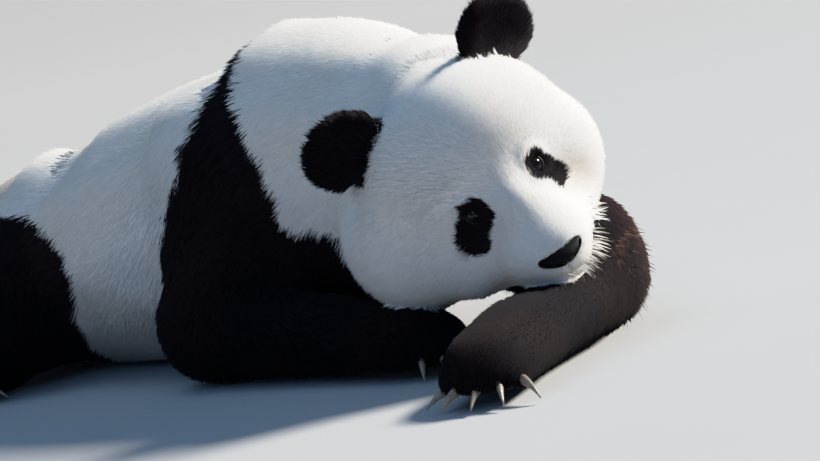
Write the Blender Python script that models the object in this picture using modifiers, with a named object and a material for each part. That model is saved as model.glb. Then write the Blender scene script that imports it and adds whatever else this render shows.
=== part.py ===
"""A life-size giant panda lying on its belly, its cheek and chin resting on its forelegs.

Every solid gives the outline of the animal out to the tips of its coat. Balls strung along
the body and limbs are blended into one form, which is then parted with thin cuts into head,
neck, trunk, tail and the parts of each leg. Ears, eyes, nose pad and claws are solids of
their own. The panda faces -Y, its left side is +X, and it lies on the floor at Z = 0.
"""

import math

import bmesh
import bpy
from mathutils import Matrix, Vector
from mathutils.bvhtree import BVHTree

# ---- driving dimensions, in metres and degrees ----
GAP = 0.0003              # clearance between neighbouring solids
GRAIN = 0.008             # voxel size of the blend
ROUNDS = 34               # rounds of smoothing that melt the balls together
BODY_TRIANGLES = 1900     # of the body without its forelegs
FORELEG_TRIANGLES = 310   # of one foreleg
WELD = 0.00002            # edges shorter than this are taken out
FLOOR_BLOCK = 4.0         # size of the block that the floor cut takes away
REACH = 0.25              # how far outside the coat a surface is looked for

# Where the body is parted. Each cell holds a limb's balls, swollen by this much.
CELL_SWELL = 1.26
HEAD_CUT = -0.075         # where the head meets the neck, along the head's own axis
NECK_CUT = -0.350         # where the neck meets the trunk, along Y
CUT_DEPTH = 0.5           # how far a cut reaches forward

HEAD_CENTRE = Vector((-0.058, -0.731, 0.258))
HEAD_TURN = 18.0          # to the panda's right
HEAD_DROP = 26.6          # nose below the level
HEAD_TILT = 29.1          # left ear raised

# Eyes, ears and nose, in the head's own axes: forward, left, up. The left one is given.
EYE_RADIUS = 0.0115
EYE_SEAT = Vector((0.0985, 0.0465, 0.0090))
EYE_SUNK = 0.0070         # of the eye's centre, in from the coat's outline
GAZE = Vector((0.90, 0.38, 0.12))
EAR_SEAT = Vector((-0.047, 0.121, 0.098))
EAR_AXIS = Vector((-0.20, 0.66, 0.72))      # from the ear's base to its tip
EAR_FACING = Vector((0.85, 0.42, 0.10))     # where its cup opens
EAR_SIZE = Vector((0.028, 0.066, 0.055))    # half thickness, half width and half height
EAR_HOLLOW = 0.62         # size of the cup's hollow over the ear's own
EAR_HOLLOW_OUT = 1.2      # its centre, in half thicknesses of the ear
NOSE_SEAT = Vector((0.2015, 0.002, -0.0445))
NOSE_SIZE = (0.016, 0.032, 0.013)
NOSE_ROLL = -5.5          # its left side lower, as the muzzle is pressed askew

TOE_RADIUS = 0.027
TOE_LOW = 0.7             # height of the toes' centres over the foot's
TOE_FAN = 24.0            # angle from one toe to the next
CLAW_LENGTH = 0.042
CLAW_RADIUS = 0.0070      # at the root
CLAW_TIP = 0.0016
CLAW_SUNK = 0.012         # length hidden in the coat
CLAW_HEIGHT = 0.026       # of the root above the floor
CLAW_DROP = 0.019         # from the root to the tip
CLAW_SWELL = 1.2          # how much fuller than a cone a claw is
CLAW_FLATNESS = 0.75      # width over height
CLAW_SIDES = 6
CLAW_RINGS = 3

# Balls of the head, in its own axes: (forward, left, up), (half length, half width, half height).
HEAD_BALLS = [
    ((0.000, 0.000, 0.008), (0.118, 0.142, 0.128)),     # cranium
    ((-0.060, 0.000, -0.020), (0.120, 0.138, 0.128)),   # back of the head
    ((0.020, 0.074, -0.045), (0.090, 0.084, 0.096)),    # left cheek
    ((0.040, 0.056, -0.076), (0.082, 0.074, 0.066)),    # left jowl
    ((-0.010, -0.115, -0.055), (0.108, 0.098, 0.102)),  # right cheek, pressed wide
    ((0.050, -0.060, -0.070), (0.090, 0.080, 0.070)),   # right jowl
    ((0.045, 0.000, -0.045), (0.090, 0.102, 0.072)),    # face between cheeks and muzzle
    ((0.092, 0.000, -0.008), (0.076, 0.048, 0.050)),    # bridge of the nose
    ((0.143, 0.000, -0.056), (0.080, 0.066, 0.053)),    # muzzle
    ((0.122, 0.000, -0.092), (0.078, 0.061, 0.044)),    # lower jaw
    ((0.092, 0.034, -0.078), (0.078, 0.052, 0.050)),    # left lip
    ((-0.115, 0.005, -0.015), (0.115, 0.118, 0.132)),   # nape
]

# Balls along the spine: centre, then half width, half length and half height.
SPINE = [
    ((0.0, 0.465, 0.148), (0.180, 0.130, 0.154)),
    ((0.0, 0.360, 0.164), (0.232, 0.140, 0.177)),
    ((0.0, 0.235, 0.169), (0.248, 0.145, 0.186)),
    ((0.0, 0.117, 0.174), (0.262, 0.150, 0.191)),
    ((0.0, -0.020, 0.199), (0.257, 0.150, 0.216)),
    ((0.0, -0.120, 0.208), (0.246, 0.150, 0.220)),
    ((0.0, -0.285, 0.224), (0.216, 0.105, 0.224)),
    ((0.0, -0.337, 0.258), (0.200, 0.102, 0.228)),
    ((0.0, -0.460, 0.255), (0.190, 0.110, 0.216)),
    ((-0.018, -0.560, 0.252), (0.153, 0.118, 0.192)),
]

# The left side's limbs. Each station is a centre and the ball's three half sizes.
HAUNCH = [
    ((0.115, 0.179, 0.191), (0.115, 0.150, 0.170)),
    ((0.255, 0.205, 0.130), (0.084, 0.100, 0.112)),
]
SHANK = [
    ((0.250, 0.240, 0.095), (0.074, 0.080, 0.095)),
    ((0.260, 0.455, 0.060), (0.060, 0.065, 0.064)),
]
HIND_FOOT = [
    ((0.285, 0.465, 0.050), (0.058, 0.058, 0.054)),
    ((0.362, 0.240, 0.046), (0.070, 0.070, 0.050)),
]
TAIL = [
    ((0.0, 0.570, 0.185), (0.055, 0.045, 0.050)),
    ((0.0, 0.630, 0.110), (0.042, 0.036, 0.050)),
]
SHOULDER_BLADE = [
    ((0.120, -0.260, 0.270), (0.105, 0.140, 0.150)),
    ((0.160, -0.300, 0.150), (0.095, 0.140, 0.130)),
]

# The forelegs lie differently, so each has its own stations, from the shoulder to the toes.
FORELEG = {
    "right": {
        "upper_arm": [
            ((-0.165, -0.340, 0.150), (0.095, 0.120, 0.120)),
            ((-0.205, -0.270, 0.086), (0.078, 0.085, 0.090)),
        ],
        "forearm": [
            ((-0.205, -0.280, 0.080), (0.076, 0.080, 0.084)),
            ((-0.185, -0.520, 0.058), (0.066, 0.066, 0.062)),
        ],
        "paw": [
            ((-0.180, -0.560, 0.052), (0.066, 0.066, 0.056)),
            ((-0.165, -0.680, 0.044), (0.072, 0.056, 0.048)),
        ],
    },
    "left": {
        "upper_arm": [
            ((0.150, -0.420, 0.190), (0.090, 0.120, 0.120)),
            ((0.060, -0.780, 0.100), (0.074, 0.080, 0.096)),
        ],
        "forearm": [
            ((0.048, -0.805, 0.084), (0.074, 0.076, 0.088)),
            ((-0.020, -0.840, 0.055), (0.072, 0.070, 0.058)),
            ((-0.150, -0.885, 0.048), (0.074, 0.074, 0.052)),
        ],
        "paw": [
            ((-0.170, -0.895, 0.050), (0.072, 0.072, 0.054)),
            ((-0.270, -0.945, 0.044), (0.064, 0.074, 0.048)),
        ],
    },
}

COLOURS = {
    "white_coat": ((0.86, 0.84, 0.78, 1.0), 0.9),
    "black_coat": ((0.022, 0.018, 0.018, 1.0), 0.85),
    "eye": ((0.02, 0.012, 0.008, 1.0), 0.08),
    "nose_skin": ((0.02, 0.018, 0.018, 1.0), 0.45),
    "claw": ((0.55, 0.48, 0.38, 1.0), 0.4),
}


def head_frame():
    """The head's own axes as a matrix: x forward, y to the panda's left, z up."""
    turn = math.radians(HEAD_TURN)
    drop = math.radians(HEAD_DROP)
    tilt = math.radians(HEAD_TILT)
    ahead = Vector((-math.sin(turn), -math.cos(turn), 0)) * math.cos(drop)
    forward = ahead - Vector((0, 0, math.sin(drop)))
    level_left = Vector((math.cos(turn), -math.sin(turn), 0))
    level_up = forward.cross(level_left)
    left = level_left * math.cos(tilt) + level_up * math.sin(tilt)
    up = level_up * math.cos(tilt) - level_left * math.sin(tilt)
    return framed(HEAD_CENTRE, forward, left, up)


def framed(origin, *axes):
    """A matrix with that origin and those three axes."""
    frame = Matrix(axes).transposed().to_4x4()
    frame.translation = origin
    return frame


def sided(vector, side):
    """A vector of the left side, or its image on the right when side is -1."""
    return Vector((vector[0], vector[1] * side, vector[2]))


# ---- shapes in a bmesh ----
def ball(bm, centre, radii, frame=None, detail=3):
    """Adds an ellipsoid with the given half sizes."""
    place = Matrix.Translation(Vector(centre)) @ Matrix.Diagonal((*radii, 1))
    bmesh.ops.create_icosphere(bm, subdivisions=detail, radius=1, matrix=(frame or Matrix()) @ place)


def between(first, last, share):
    return tuple(a + (b - a) * share for a, b in zip(first, last))


def string(bm, stations, side=1, balls=6):
    """Adds balls strung along the stations; side -1 puts them on the panda's right."""
    for (start, first), (end, last) in zip(stations, stations[1:]):
        for step in range(balls + 1):
            x, y, z = between(start, end, step / balls)
            ball(bm, (x * side, y, z), between(first, last, step / balls), detail=2)


def toe_directions(stations, side=1):
    """Directions of a foot's five toes, fanned about the line from its heel to its toes."""
    heel, _ = stations[0]
    front, _ = stations[-1]
    ahead = Vector(((front[0] - heel[0]) * side, front[1] - heel[1], 0)).normalized()
    turns = [math.radians(TOE_FAN * place) for place in (-2, -1, 0, 1, 2)]
    return [Matrix.Rotation(turn, 3, "Z") @ ahead for turn in turns]


def toes(bm, stations, side=1):
    """Adds the balls of a foot's five toes."""
    (x, y, z), (half_width, half_length, _) = stations[-1]
    reach = (half_width + half_length - TOE_RADIUS) / 2
    for outward in toe_directions(stations, side):
        ball(bm, Vector((x * side, y, z * TOE_LOW)) + outward * reach, [TOE_RADIUS] * 3, detail=2)


def claw(bm, root, outward):
    """Adds a hooked claw that leaves the root outwards and bends down."""
    up = Vector((0, 0, 1))
    lying = Matrix.Translation((CLAW_LENGTH / 2, 0, 0)) @ Matrix.Rotation(math.radians(90), 4, "Y")
    bmesh.ops.create_cone(bm, cap_ends=True, segments=CLAW_SIDES, radius1=CLAW_RADIUS,
                          radius2=CLAW_TIP, depth=CLAW_LENGTH, matrix=lying)
    for ring in range(1, CLAW_RINGS):
        bmesh.ops.bisect_plane(bm, geom=bm.verts[:] + bm.edges[:] + bm.faces[:],
                               plane_co=(CLAW_LENGTH * ring / CLAW_RINGS, 0, 0), plane_no=(1, 0, 0))
    for vert in bm.verts:
        share = vert.co.x / CLAW_LENGTH
        swell = 1 + CLAW_SWELL * share * (1 - share)
        vert.co.y *= swell * CLAW_FLATNESS
        vert.co.z = vert.co.z * swell - CLAW_DROP * share ** 2
    bm.transform(framed(root, outward, up.cross(outward), up))


# ---- objects ----
def linked(name, mesh, collection):
    made = bpy.data.objects.new(name, mesh)
    collection.objects.link(made)
    if collection is CUTTERS:
        made.hide_render = True
        made.display_type = "WIRE"
    return made


def object_from(bm, name, collection):
    mesh = bpy.data.meshes.new(name)
    bm.to_mesh(mesh)
    bm.free()
    return linked(name, mesh, collection)


def dressed(obj, kind):
    """Gives the object its own material of that kind."""
    colour, roughness = COLOURS[kind]
    made = bpy.data.materials.new(kind)
    made.use_nodes = True
    shader = made.node_tree.nodes["Principled BSDF"]
    shader.inputs["Base Color"].default_value = colour
    shader.inputs["Roughness"].default_value = roughness
    obj.data.materials.clear()
    obj.data.materials.append(made)
    return obj


def applied(obj):
    """Gives the object the mesh that its modifiers make."""
    graph = bpy.context.evaluated_depsgraph_get()
    graph.update()
    before = obj.data
    obj.data = bpy.data.meshes.new_from_object(obj.evaluated_get(graph))
    obj.modifiers.clear()
    bpy.data.meshes.remove(before)
    return obj


def combined(obj, other, operation):
    """Applies a Boolean of the object with another one."""
    step = obj.modifiers.new(operation.lower(), "BOOLEAN")
    step.operation = operation
    step.object = other
    step.solver = "EXACT"
    return applied(obj)


def grown(obj):
    """A cutter: a copy of the object whose surface stands out by the clearance."""
    copy = linked(f"{obj.name}_grown", obj.data.copy(), CUTTERS)
    bm = bmesh.new()
    bm.from_mesh(copy.data)
    for vert in bm.verts:
        vert.co += vert.normal * GAP * vert.calc_shell_factor()
    bm.to_mesh(copy.data)
    bm.free()
    return copy


def shell_of(start):
    """The corners that edges join to the start."""
    shell = {start}
    edge = [start]
    while edge:
        vert = edge.pop()
        found = {link.other_vert(vert) for link in vert.link_edges} - shell
        shell |= found
        edge.extend(found)
    return shell


def largest_shell(obj):
    """Keeps only the largest loose piece of the object."""
    bm = bmesh.new()
    bm.from_mesh(obj.data)
    left = set(bm.verts)
    shells = []
    while left:
        shells.append(shell_of(next(iter(left))))
        left -= shells[-1]
    largest = max(shells, key=len)
    bmesh.ops.delete(bm, geom=[vert for vert in bm.verts if vert not in largest], context="VERTS")
    bmesh.ops.dissolve_degenerate(bm, dist=WELD, edges=bm.edges)
    bm.to_mesh(obj.data)
    bm.free()
    return obj


def trimmed(obj, *outlines):
    """Takes what lies in the outlines off the object."""
    for outline in outlines:
        combined(obj, outline, "DIFFERENCE")
    return largest_shell(obj)


def blended(bm, name, triangles):
    """Melts the balls into one smooth closed form, level at the floor, of about that many triangles."""
    body = object_from(bm, name, PARTS)
    remesh = body.modifiers.new("blend", "REMESH")
    remesh.mode = "VOXEL"
    remesh.voxel_size = GRAIN
    smooth = body.modifiers.new("melt", "SMOOTH")
    smooth.factor = 0.5
    smooth.iterations = ROUNDS
    applied(body)
    thin = body.modifiers.new("thin", "DECIMATE")
    thin.ratio = triangles / sum(len(face.vertices) - 2 for face in body.data.polygons)
    applied(body)
    floor = bmesh.new()
    bmesh.ops.create_cube(floor, size=FLOOR_BLOCK, matrix=Matrix.Translation((0, 0, -FLOOR_BLOCK / 2)))
    return trimmed(body, object_from(floor, "floor_cutter", CUTTERS))


def cell(stations, side=1):
    """A cutter: the convex hull of the stations' balls, each a little larger."""
    bm = bmesh.new()
    for (x, y, z), radii in stations:
        ball(bm, (x * side, y, z), [size * CELL_SWELL for size in radii], detail=1)
    bmesh.ops.delete(bm, geom=bm.edges[:], context="EDGES_FACES")
    hull = bmesh.ops.convex_hull(bm, input=bm.verts)
    bmesh.ops.delete(bm, geom=hull["geom_interior"], context="VERTS")
    return object_from(bm, "cell", CUTTERS)


def slab(frame):
    """A cutter: a block that starts at the frame's origin and reaches forward along its x axis."""
    bm = bmesh.new()
    place = Matrix.Translation((CUT_DEPTH / 2, 0, 0)) @ Matrix.Diagonal((CUT_DEPTH, 1, 1, 1))
    bmesh.ops.create_cube(bm, size=1, matrix=frame @ place)
    return object_from(bm, "slab", CUTTERS)


def parted(whole, cutter, name, kind):
    """Takes what lies in the cutter off the whole, as an object of that name."""
    piece = linked(name, whole.data.copy(), PARTS)
    largest_shell(combined(piece, cutter, "INTERSECT"))
    trimmed(whole, grown(cutter))
    return dressed(piece, kind)


def surface_of(obj):
    return BVHTree.FromObject(obj, bpy.context.evaluated_depsgraph_get())


def surface_from(tree, point, outward):
    """Where a line towards the point, from outside, first meets the surface."""
    return tree.ray_cast(point + outward * REACH, -outward)[0]


# ---- the panda ----
def body_balls():
    """The balls of the whole body without its forelegs."""
    bm = bmesh.new()
    string(bm, SPINE)
    string(bm, TAIL)
    for side in (-1, 1):
        for limb in (HAUNCH, SHANK, HIND_FOOT, SHOULDER_BLADE):
            string(bm, limb, side)
        toes(bm, HIND_FOOT, side)
    for centre, radii in HEAD_BALLS:
        ball(bm, centre, radii, HEAD)
    return bm


def add_claws(foot, stations, name, side=1, beside=()):
    """Five claws at the front of a foot, trimmed by the foot and by what is beside it."""
    surface = surface_of(foot)
    x, y, _ = stations[-1][0]
    outlines = [grown(solid) for solid in (foot, *beside)]
    for number, outward in enumerate(toe_directions(stations, side), start=1):
        root = surface_from(surface, Vector((x * side, y, CLAW_HEIGHT)), outward)
        bm = bmesh.new()
        claw(bm, root - outward * CLAW_SUNK, outward)
        made = object_from(bm, f"claw_{name}_{number}", PARTS)
        dressed(trimmed(made, *outlines), "claw")


def add_foreleg(side_name, sections, body_outline):
    """A foreleg, trimmed where it lies against the body, and parted into its sections."""
    bm = bmesh.new()
    for stations in sections.values():
        string(bm, stations)
    toes(bm, sections["paw"])
    arm = blended(bm, f"upper_arm_{side_name}", FORELEG_TRIANGLES)
    dressed(trimmed(arm, body_outline), "black_coat")
    paw = parted(arm, cell(sections["paw"]), f"paw_{side_name}", "black_coat")
    parted(arm, cell(sections["forearm"]), f"forearm_{side_name}", "black_coat")
    add_claws(paw, sections["paw"], f"fore_{side_name}")


def part_hind_leg(body, side_name, side):
    foot = parted(body, cell(HIND_FOOT, side), f"hind_foot_{side_name}", "black_coat")
    shank = parted(body, cell(SHANK, side), f"shank_{side_name}", "black_coat")
    thigh = parted(body, cell(HAUNCH, side), f"thigh_{side_name}", "black_coat")
    add_claws(foot, HIND_FOOT, f"hind_{side_name}", side, (shank, thigh))


def add_eye(head, surface, side_name, side):
    """An eye sunk in the head, with an open socket round it."""
    gaze = (HEAD.to_3x3() @ sided(GAZE, side)).normalized()
    front = surface_from(surface, HEAD @ sided(EYE_SEAT, side), gaze)
    bm = bmesh.new()
    ball(bm, front - gaze * EYE_SUNK, [EYE_RADIUS] * 3)
    eye = dressed(object_from(bm, f"eye_{side_name}", PARTS), "eye")
    trimmed(head, grown(eye))


def add_ear(body_outline, side_name, side):
    """A round cupped ear that stands on the head."""
    radial = sided(EAR_AXIS, side).normalized()
    facing = sided(EAR_FACING, side)
    facing = (facing - radial * facing.dot(radial)).normalized()
    frame = HEAD @ framed(sided(EAR_SEAT, side), facing, radial.cross(facing), radial)
    bm = bmesh.new()
    ball(bm, (0, 0, 0), EAR_SIZE, frame)
    ear = dressed(object_from(bm, f"ear_{side_name}", PARTS), "black_coat")
    bm = bmesh.new()
    ball(bm, (EAR_SIZE.x * EAR_HOLLOW_OUT, 0, 0), EAR_SIZE * EAR_HOLLOW, frame, detail=2)
    trimmed(ear, object_from(bm, "ear_hollow", CUTTERS), body_outline)


def add_nose(head):
    """The nose pad, set in the front of the muzzle."""
    frame = HEAD @ Matrix.Translation(NOSE_SEAT) @ Matrix.Rotation(math.radians(NOSE_ROLL), 4, "X")
    bm = bmesh.new()
    ball(bm, (0, 0, 0), NOSE_SIZE, frame, detail=2)
    nose = dressed(object_from(bm, "nose_pad", PARTS), "nose_skin")
    trimmed(head, grown(nose))


def build():
    body = dressed(blended(body_balls(), "trunk", BODY_TRIANGLES), "white_coat")
    body_outline = grown(body)
    surface = surface_of(body)
    for side_name, sections in FORELEG.items():
        add_foreleg(side_name, sections, body_outline)
    for side_name, side in SIDES.items():
        part_hind_leg(body, side_name, side)
    parted(body, cell(TAIL), "tail", "white_coat")
    head = parted(body, slab(HEAD @ Matrix.Translation((HEAD_CUT, 0, 0))), "head", "white_coat")
    forward = Matrix.Rotation(math.radians(-90), 4, "Z")
    parted(body, slab(Matrix.Translation((0, NECK_CUT, 0)) @ forward), "neck", "white_coat")
    for side_name, side in SIDES.items():
        add_eye(head, surface, side_name, side)
        add_ear(body_outline, side_name, side)
    add_nose(head)


for leftover in list(bpy.data.objects):
    bpy.data.objects.remove(leftover, do_unlink=True)
PARTS = bpy.data.collections.new("giant_panda")
CUTTERS = bpy.data.collections.new("cutters")
bpy.context.scene.collection.children.link(PARTS)
bpy.context.scene.collection.children.link(CUTTERS)
HEAD = head_frame()
SIDES = {"right": -1, "left": 1}
build()
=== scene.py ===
"""A giant panda lying on its belly, its chin over its folded left foreleg.

One skin covers the flesh, and a coat of small tufts grows from it in the lie of the fur. The
eyes with their lids, the nose pad and the claws are pieces of their own. Lengths are in
metres, and the coat's own sizes in millimetres. The panda faces -Y, its left side is +X and
the floor is at Z = 0. A point of the head is given in its own axes: forward, left and up.
"""

import logging
import math
from dataclasses import dataclass, field, fields, replace
from enum import Enum

import bmesh
import bpy
import numpy as np
from mathutils import Matrix, Vector
from mathutils.bvhtree import BVHTree
from mathutils.kdtree import KDTree


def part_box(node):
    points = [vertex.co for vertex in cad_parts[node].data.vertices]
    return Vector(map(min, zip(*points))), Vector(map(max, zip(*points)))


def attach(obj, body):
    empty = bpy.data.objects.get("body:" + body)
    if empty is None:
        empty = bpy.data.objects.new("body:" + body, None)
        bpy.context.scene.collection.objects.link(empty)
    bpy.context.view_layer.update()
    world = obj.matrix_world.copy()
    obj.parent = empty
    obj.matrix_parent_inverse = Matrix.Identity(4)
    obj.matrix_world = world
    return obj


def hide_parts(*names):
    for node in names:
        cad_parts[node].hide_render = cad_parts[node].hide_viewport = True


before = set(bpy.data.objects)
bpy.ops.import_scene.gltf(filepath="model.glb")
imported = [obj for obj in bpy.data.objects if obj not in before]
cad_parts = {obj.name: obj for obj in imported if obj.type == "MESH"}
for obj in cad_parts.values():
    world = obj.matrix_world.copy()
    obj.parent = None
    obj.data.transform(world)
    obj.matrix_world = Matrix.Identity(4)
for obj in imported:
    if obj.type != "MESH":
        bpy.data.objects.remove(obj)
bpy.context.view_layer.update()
LOG = logging.getLogger("giant_panda")

Point = tuple[float, float, float]
Station = tuple[Point, Point]

MILLIMETRE = 0.001
SQUARE_CENTIMETRES = 1e4
BODY = "root"
BAKE_MAP = "OFBake"
COAT_COLOUR = "coat_colour"
FROM_GAZE = "from_gaze"


class Side(Enum):
    """A side of the panda, as the sign of X on it."""

    RIGHT = -1
    LEFT = 1

    @property
    def label(self) -> str:
        """The side's name in the names of solids."""
        return self.name.lower()

    def of(self, point: Point) -> Vector:
        """A point or direction of the left side, brought to this side."""
        return Vector((point[0], point[1] * self.value, point[2]))


class Slot(Enum):
    """The finishes that the record names."""

    WHITE_COAT = "white_coat"
    BLACK_COAT = "black_coat"
    EYE = "eye"
    NOSE = "nose_skin"
    CLAW = "claw"


class Region(Enum):
    """The parts of the coat, each a piece of its own."""

    FACE = "face"
    HEAD = "head"
    EARS = "ears"
    NECK = "neck"
    SHOULDERS = "shoulders"
    BACK = "back"
    RUMP = "rump"
    FORELEGS = "forelegs"
    HIND_LEGS = "hind_legs"

    @property
    def number(self) -> int:
        """The region's place among them all."""
        return list(Region).index(self)


# ---- helpers ----
def framed(origin: Vector, *axes: Vector) -> Matrix:
    """A matrix with that origin and those three axes.

    Args:
        origin: its origin.
        axes: its three axes.

    Returns:
        The matrix.
    """
    frame = Matrix(axes).transposed().to_4x4()
    frame.translation = origin
    return frame


def finished(piece: bpy.types.Object, slot: Slot, *nodes: str) -> bpy.types.Object:
    """Makes a piece ride on the body, and lets it stand for solids.

    Args:
        piece: the finished piece, its place in its mesh.
        slot: the finish that it would take; not used.
        nodes: the solids that it replaces.

    Returns:
        The same piece.
    """
    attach(piece, BODY)
    if nodes:
        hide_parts(*nodes)
    LOG.info("%s: %d triangles", piece.name, sum(len(face.vertices) - 2 for face in piece.data.polygons))
    return piece


def linked(name: str, data: bpy.types.ID) -> bpy.types.Object:
    """A new object of that mesh, light or camera in the scene.

    Args:
        name: the object's name.
        data: the mesh, light or camera.

    Returns:
        The new object.
    """
    made = bpy.data.objects.new(name, data)
    bpy.context.scene.collection.objects.link(made)
    return made


def object_from(bm: bmesh.types.BMesh, name: str) -> bpy.types.Object:
    """A new smooth object from a bmesh, which is then freed.

    Args:
        bm: the bmesh.
        name: the object's name.

    Returns:
        The new object.
    """
    mesh = bpy.data.meshes.new(name)
    bm.to_mesh(mesh)
    bm.free()
    mesh.shade_smooth()
    return linked(name, mesh)


def applied(piece: bpy.types.Object) -> bpy.types.Object:
    """Gives a piece the mesh that its modifiers make, and clears them.

    Args:
        piece: the piece.

    Returns:
        The same piece.
    """
    graph = bpy.context.evaluated_depsgraph_get()
    graph.update()
    before = piece.data
    piece.data = bpy.data.meshes.new_from_object(piece.evaluated_get(graph))
    piece.modifiers.clear()
    bpy.data.meshes.remove(before)
    return piece


def remeshed(form: bpy.types.Object, voxel: float, rounds: int) -> bpy.types.Object:
    """Gives a form one even closed surface, and smooths it.

    Args:
        form: the form.
        voxel: the surface's grain.
        rounds: how often it is smoothed.

    Returns:
        The same form.
    """
    even = form.modifiers.new("even", "REMESH")
    even.mode = "VOXEL"
    even.voxel_size = voxel
    smooth = form.modifiers.new("smooth", "SMOOTH")
    smooth.factor = 0.5
    smooth.iterations = rounds
    return applied(form)


def sliced(bm: bmesh.types.BMesh, place: Point | Vector, outward: Point | Vector,
           clear: bool = False) -> None:
    """Cuts a bmesh at a plane.

    Args:
        bm: the bmesh.
        place: a place on the plane.
        outward: the way out of the plane.
        clear: whether what lies behind the plane is cleared.
    """
    bmesh.ops.bisect_plane(bm, geom=bm.verts[:] + bm.edges[:] + bm.faces[:], plane_co=place, plane_no=outward,
                           clear_inner=clear)


def added(bm: bmesh.types.BMesh, part: bmesh.types.BMesh) -> None:
    """Adds one bmesh to another, and frees it.

    Args:
        bm: the bmesh that grows.
        part: the bmesh that is added.
    """
    mesh = bpy.data.meshes.new("part")
    part.to_mesh(mesh)
    part.free()
    bm.from_mesh(mesh)


def points_of(mesh: bpy.types.Mesh) -> np.ndarray:
    """The places of a mesh's corners, one row each.

    Args:
        mesh: the mesh.

    Returns:
        Their places.
    """
    flat = np.empty(len(mesh.vertices) * 3, np.float32)
    mesh.vertices.foreach_get("co", flat)
    return flat.reshape(-1, 3).astype(float)


def normals_of(mesh: bpy.types.Mesh) -> np.ndarray:
    """The outward directions at a mesh's corners, one row each.

    Args:
        mesh: the mesh.

    Returns:
        Those directions, at length one.
    """
    flat = np.empty(len(mesh.vertices) * 3, np.float32)
    mesh.vertex_normals.foreach_get("vector", flat)
    return flat.reshape(-1, 3).astype(float)


def placed(mesh: bpy.types.Mesh, points: np.ndarray) -> None:
    """Moves a mesh's corners to those places."""
    mesh.vertices.foreach_set("co", points.astype(np.float32).ravel())
    mesh.update()


def coloured(mesh: bpy.types.Mesh, colours: np.ndarray) -> None:
    """Writes a colour for each corner of a mesh, for the fur's finish to read.

    Args:
        mesh: the mesh.
        colours: the colours, in the corners' order.
    """
    full = np.hstack([colours.reshape(-1, 3), np.ones((len(mesh.vertices), 1))])
    layer = mesh.attributes.new(COAT_COLOUR, "FLOAT_COLOR", "POINT")
    layer.data.foreach_set("color", full.astype(np.float32).ravel())


def unit(vectors: np.ndarray) -> np.ndarray:
    """The vectors at length one."""
    return vectors / np.maximum(np.linalg.norm(vectors, axis=-1, keepdims=True), 1e-9)


def dots(first: np.ndarray, second: np.ndarray) -> np.ndarray:
    """Row by row scalar products, as a column."""
    return np.sum(first * second, axis=-1, keepdims=True)


def mixed(first: np.ndarray | Point, second: np.ndarray | Point, share: np.ndarray | float) -> np.ndarray:
    """The first values where the share is 0, the second where it is 1, and a mix between."""
    return np.asarray(first) * (1 - share) + np.asarray(second) * share


def eased(values: np.ndarray, low: float, high: float) -> np.ndarray:
    """Zero below low, one above high, and smooth between them."""
    share = np.clip((values - low) / (high - low), 0, 1)
    return share * share * (3 - 2 * share)


def ripple(points: np.ndarray, wavelength: float, seed: int) -> np.ndarray:
    """A smooth, unordered field over space.

    Args:
        points: where it is wanted, one row each.
        wavelength: the usual length of its waves.
        seed: picks the field.

    Returns:
        One value for each point, mostly between -1 and 1.
    """
    rng = np.random.default_rng(seed)
    waves = unit(rng.normal(size=(7, 3))) * (2 * math.pi / wavelength)
    waves *= rng.uniform(0.6, 1.4, (7, 1))
    return np.sin(points @ waves.T + rng.uniform(0, 6.3, 7)).sum(1) / 2.6


def in_axes(frame: Matrix, points: np.ndarray) -> np.ndarray:
    """Points, as places in a frame's own axes."""
    inverse = np.array(frame.inverted())
    return points @ inverse[:3, :3].T + inverse[:3, 3]


def line_distance(points: np.ndarray, start: np.ndarray, end: np.ndarray) -> np.ndarray:
    """How far each point is from the line between start and end.

    Args:
        points: the points, one row each.
        start: the line's start.
        end: its end.

    Returns:
        One distance for each point.
    """
    along = end - start
    share = np.clip((points - start) @ along / max(along @ along, 1e-12), 0, 1)
    return np.linalg.norm(points - start - share[:, None] * along, axis=1)


def surface_of(piece: bpy.types.Object) -> BVHTree:
    """A piece's surface, to look for the nearest point on it."""
    corners, faces = piece.data.vertices, piece.data.polygons
    return BVHTree.FromPolygons([corner.co for corner in corners], [face.vertices for face in faces])


def heights_over(tree: BVHTree, points: np.ndarray) -> tuple[np.ndarray, np.ndarray]:
    """How high each point is over the surface nearest to it, and the way out of that surface.

    Args:
        tree: the surface.
        points: the points, one row each.

    Returns:
        The heights, less than nothing inside, and the directions.
    """
    nearest = [tree.find_nearest(point)[:2] for point in points.tolist()]
    place, outward = (np.array([pair[item][:] for pair in nearest]) for item in range(2))
    return ((points - place) * outward).sum(1), outward


def triangles_of(mesh: bpy.types.Mesh) -> tuple[np.ndarray, np.ndarray]:
    """The corners of a mesh's triangles, and those corners' places on its bake map.

    Args:
        mesh: the mesh.

    Returns:
        Both, with a row of three for each triangle.
    """
    mesh.calc_loop_triangles()
    corners = np.empty(len(mesh.loop_triangles) * 3, np.int32)
    mesh.loop_triangles.foreach_get("vertices", corners)
    loops = np.empty_like(corners)
    mesh.loop_triangles.foreach_get("loops", loops)
    flat = np.empty(len(mesh.loops) * 2, np.float32)
    mesh.uv_layers[BAKE_MAP].data.foreach_get("uv", flat)
    return corners.reshape(-1, 3), flat.reshape(-1, 2)[loops.reshape(-1, 3)]


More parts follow.
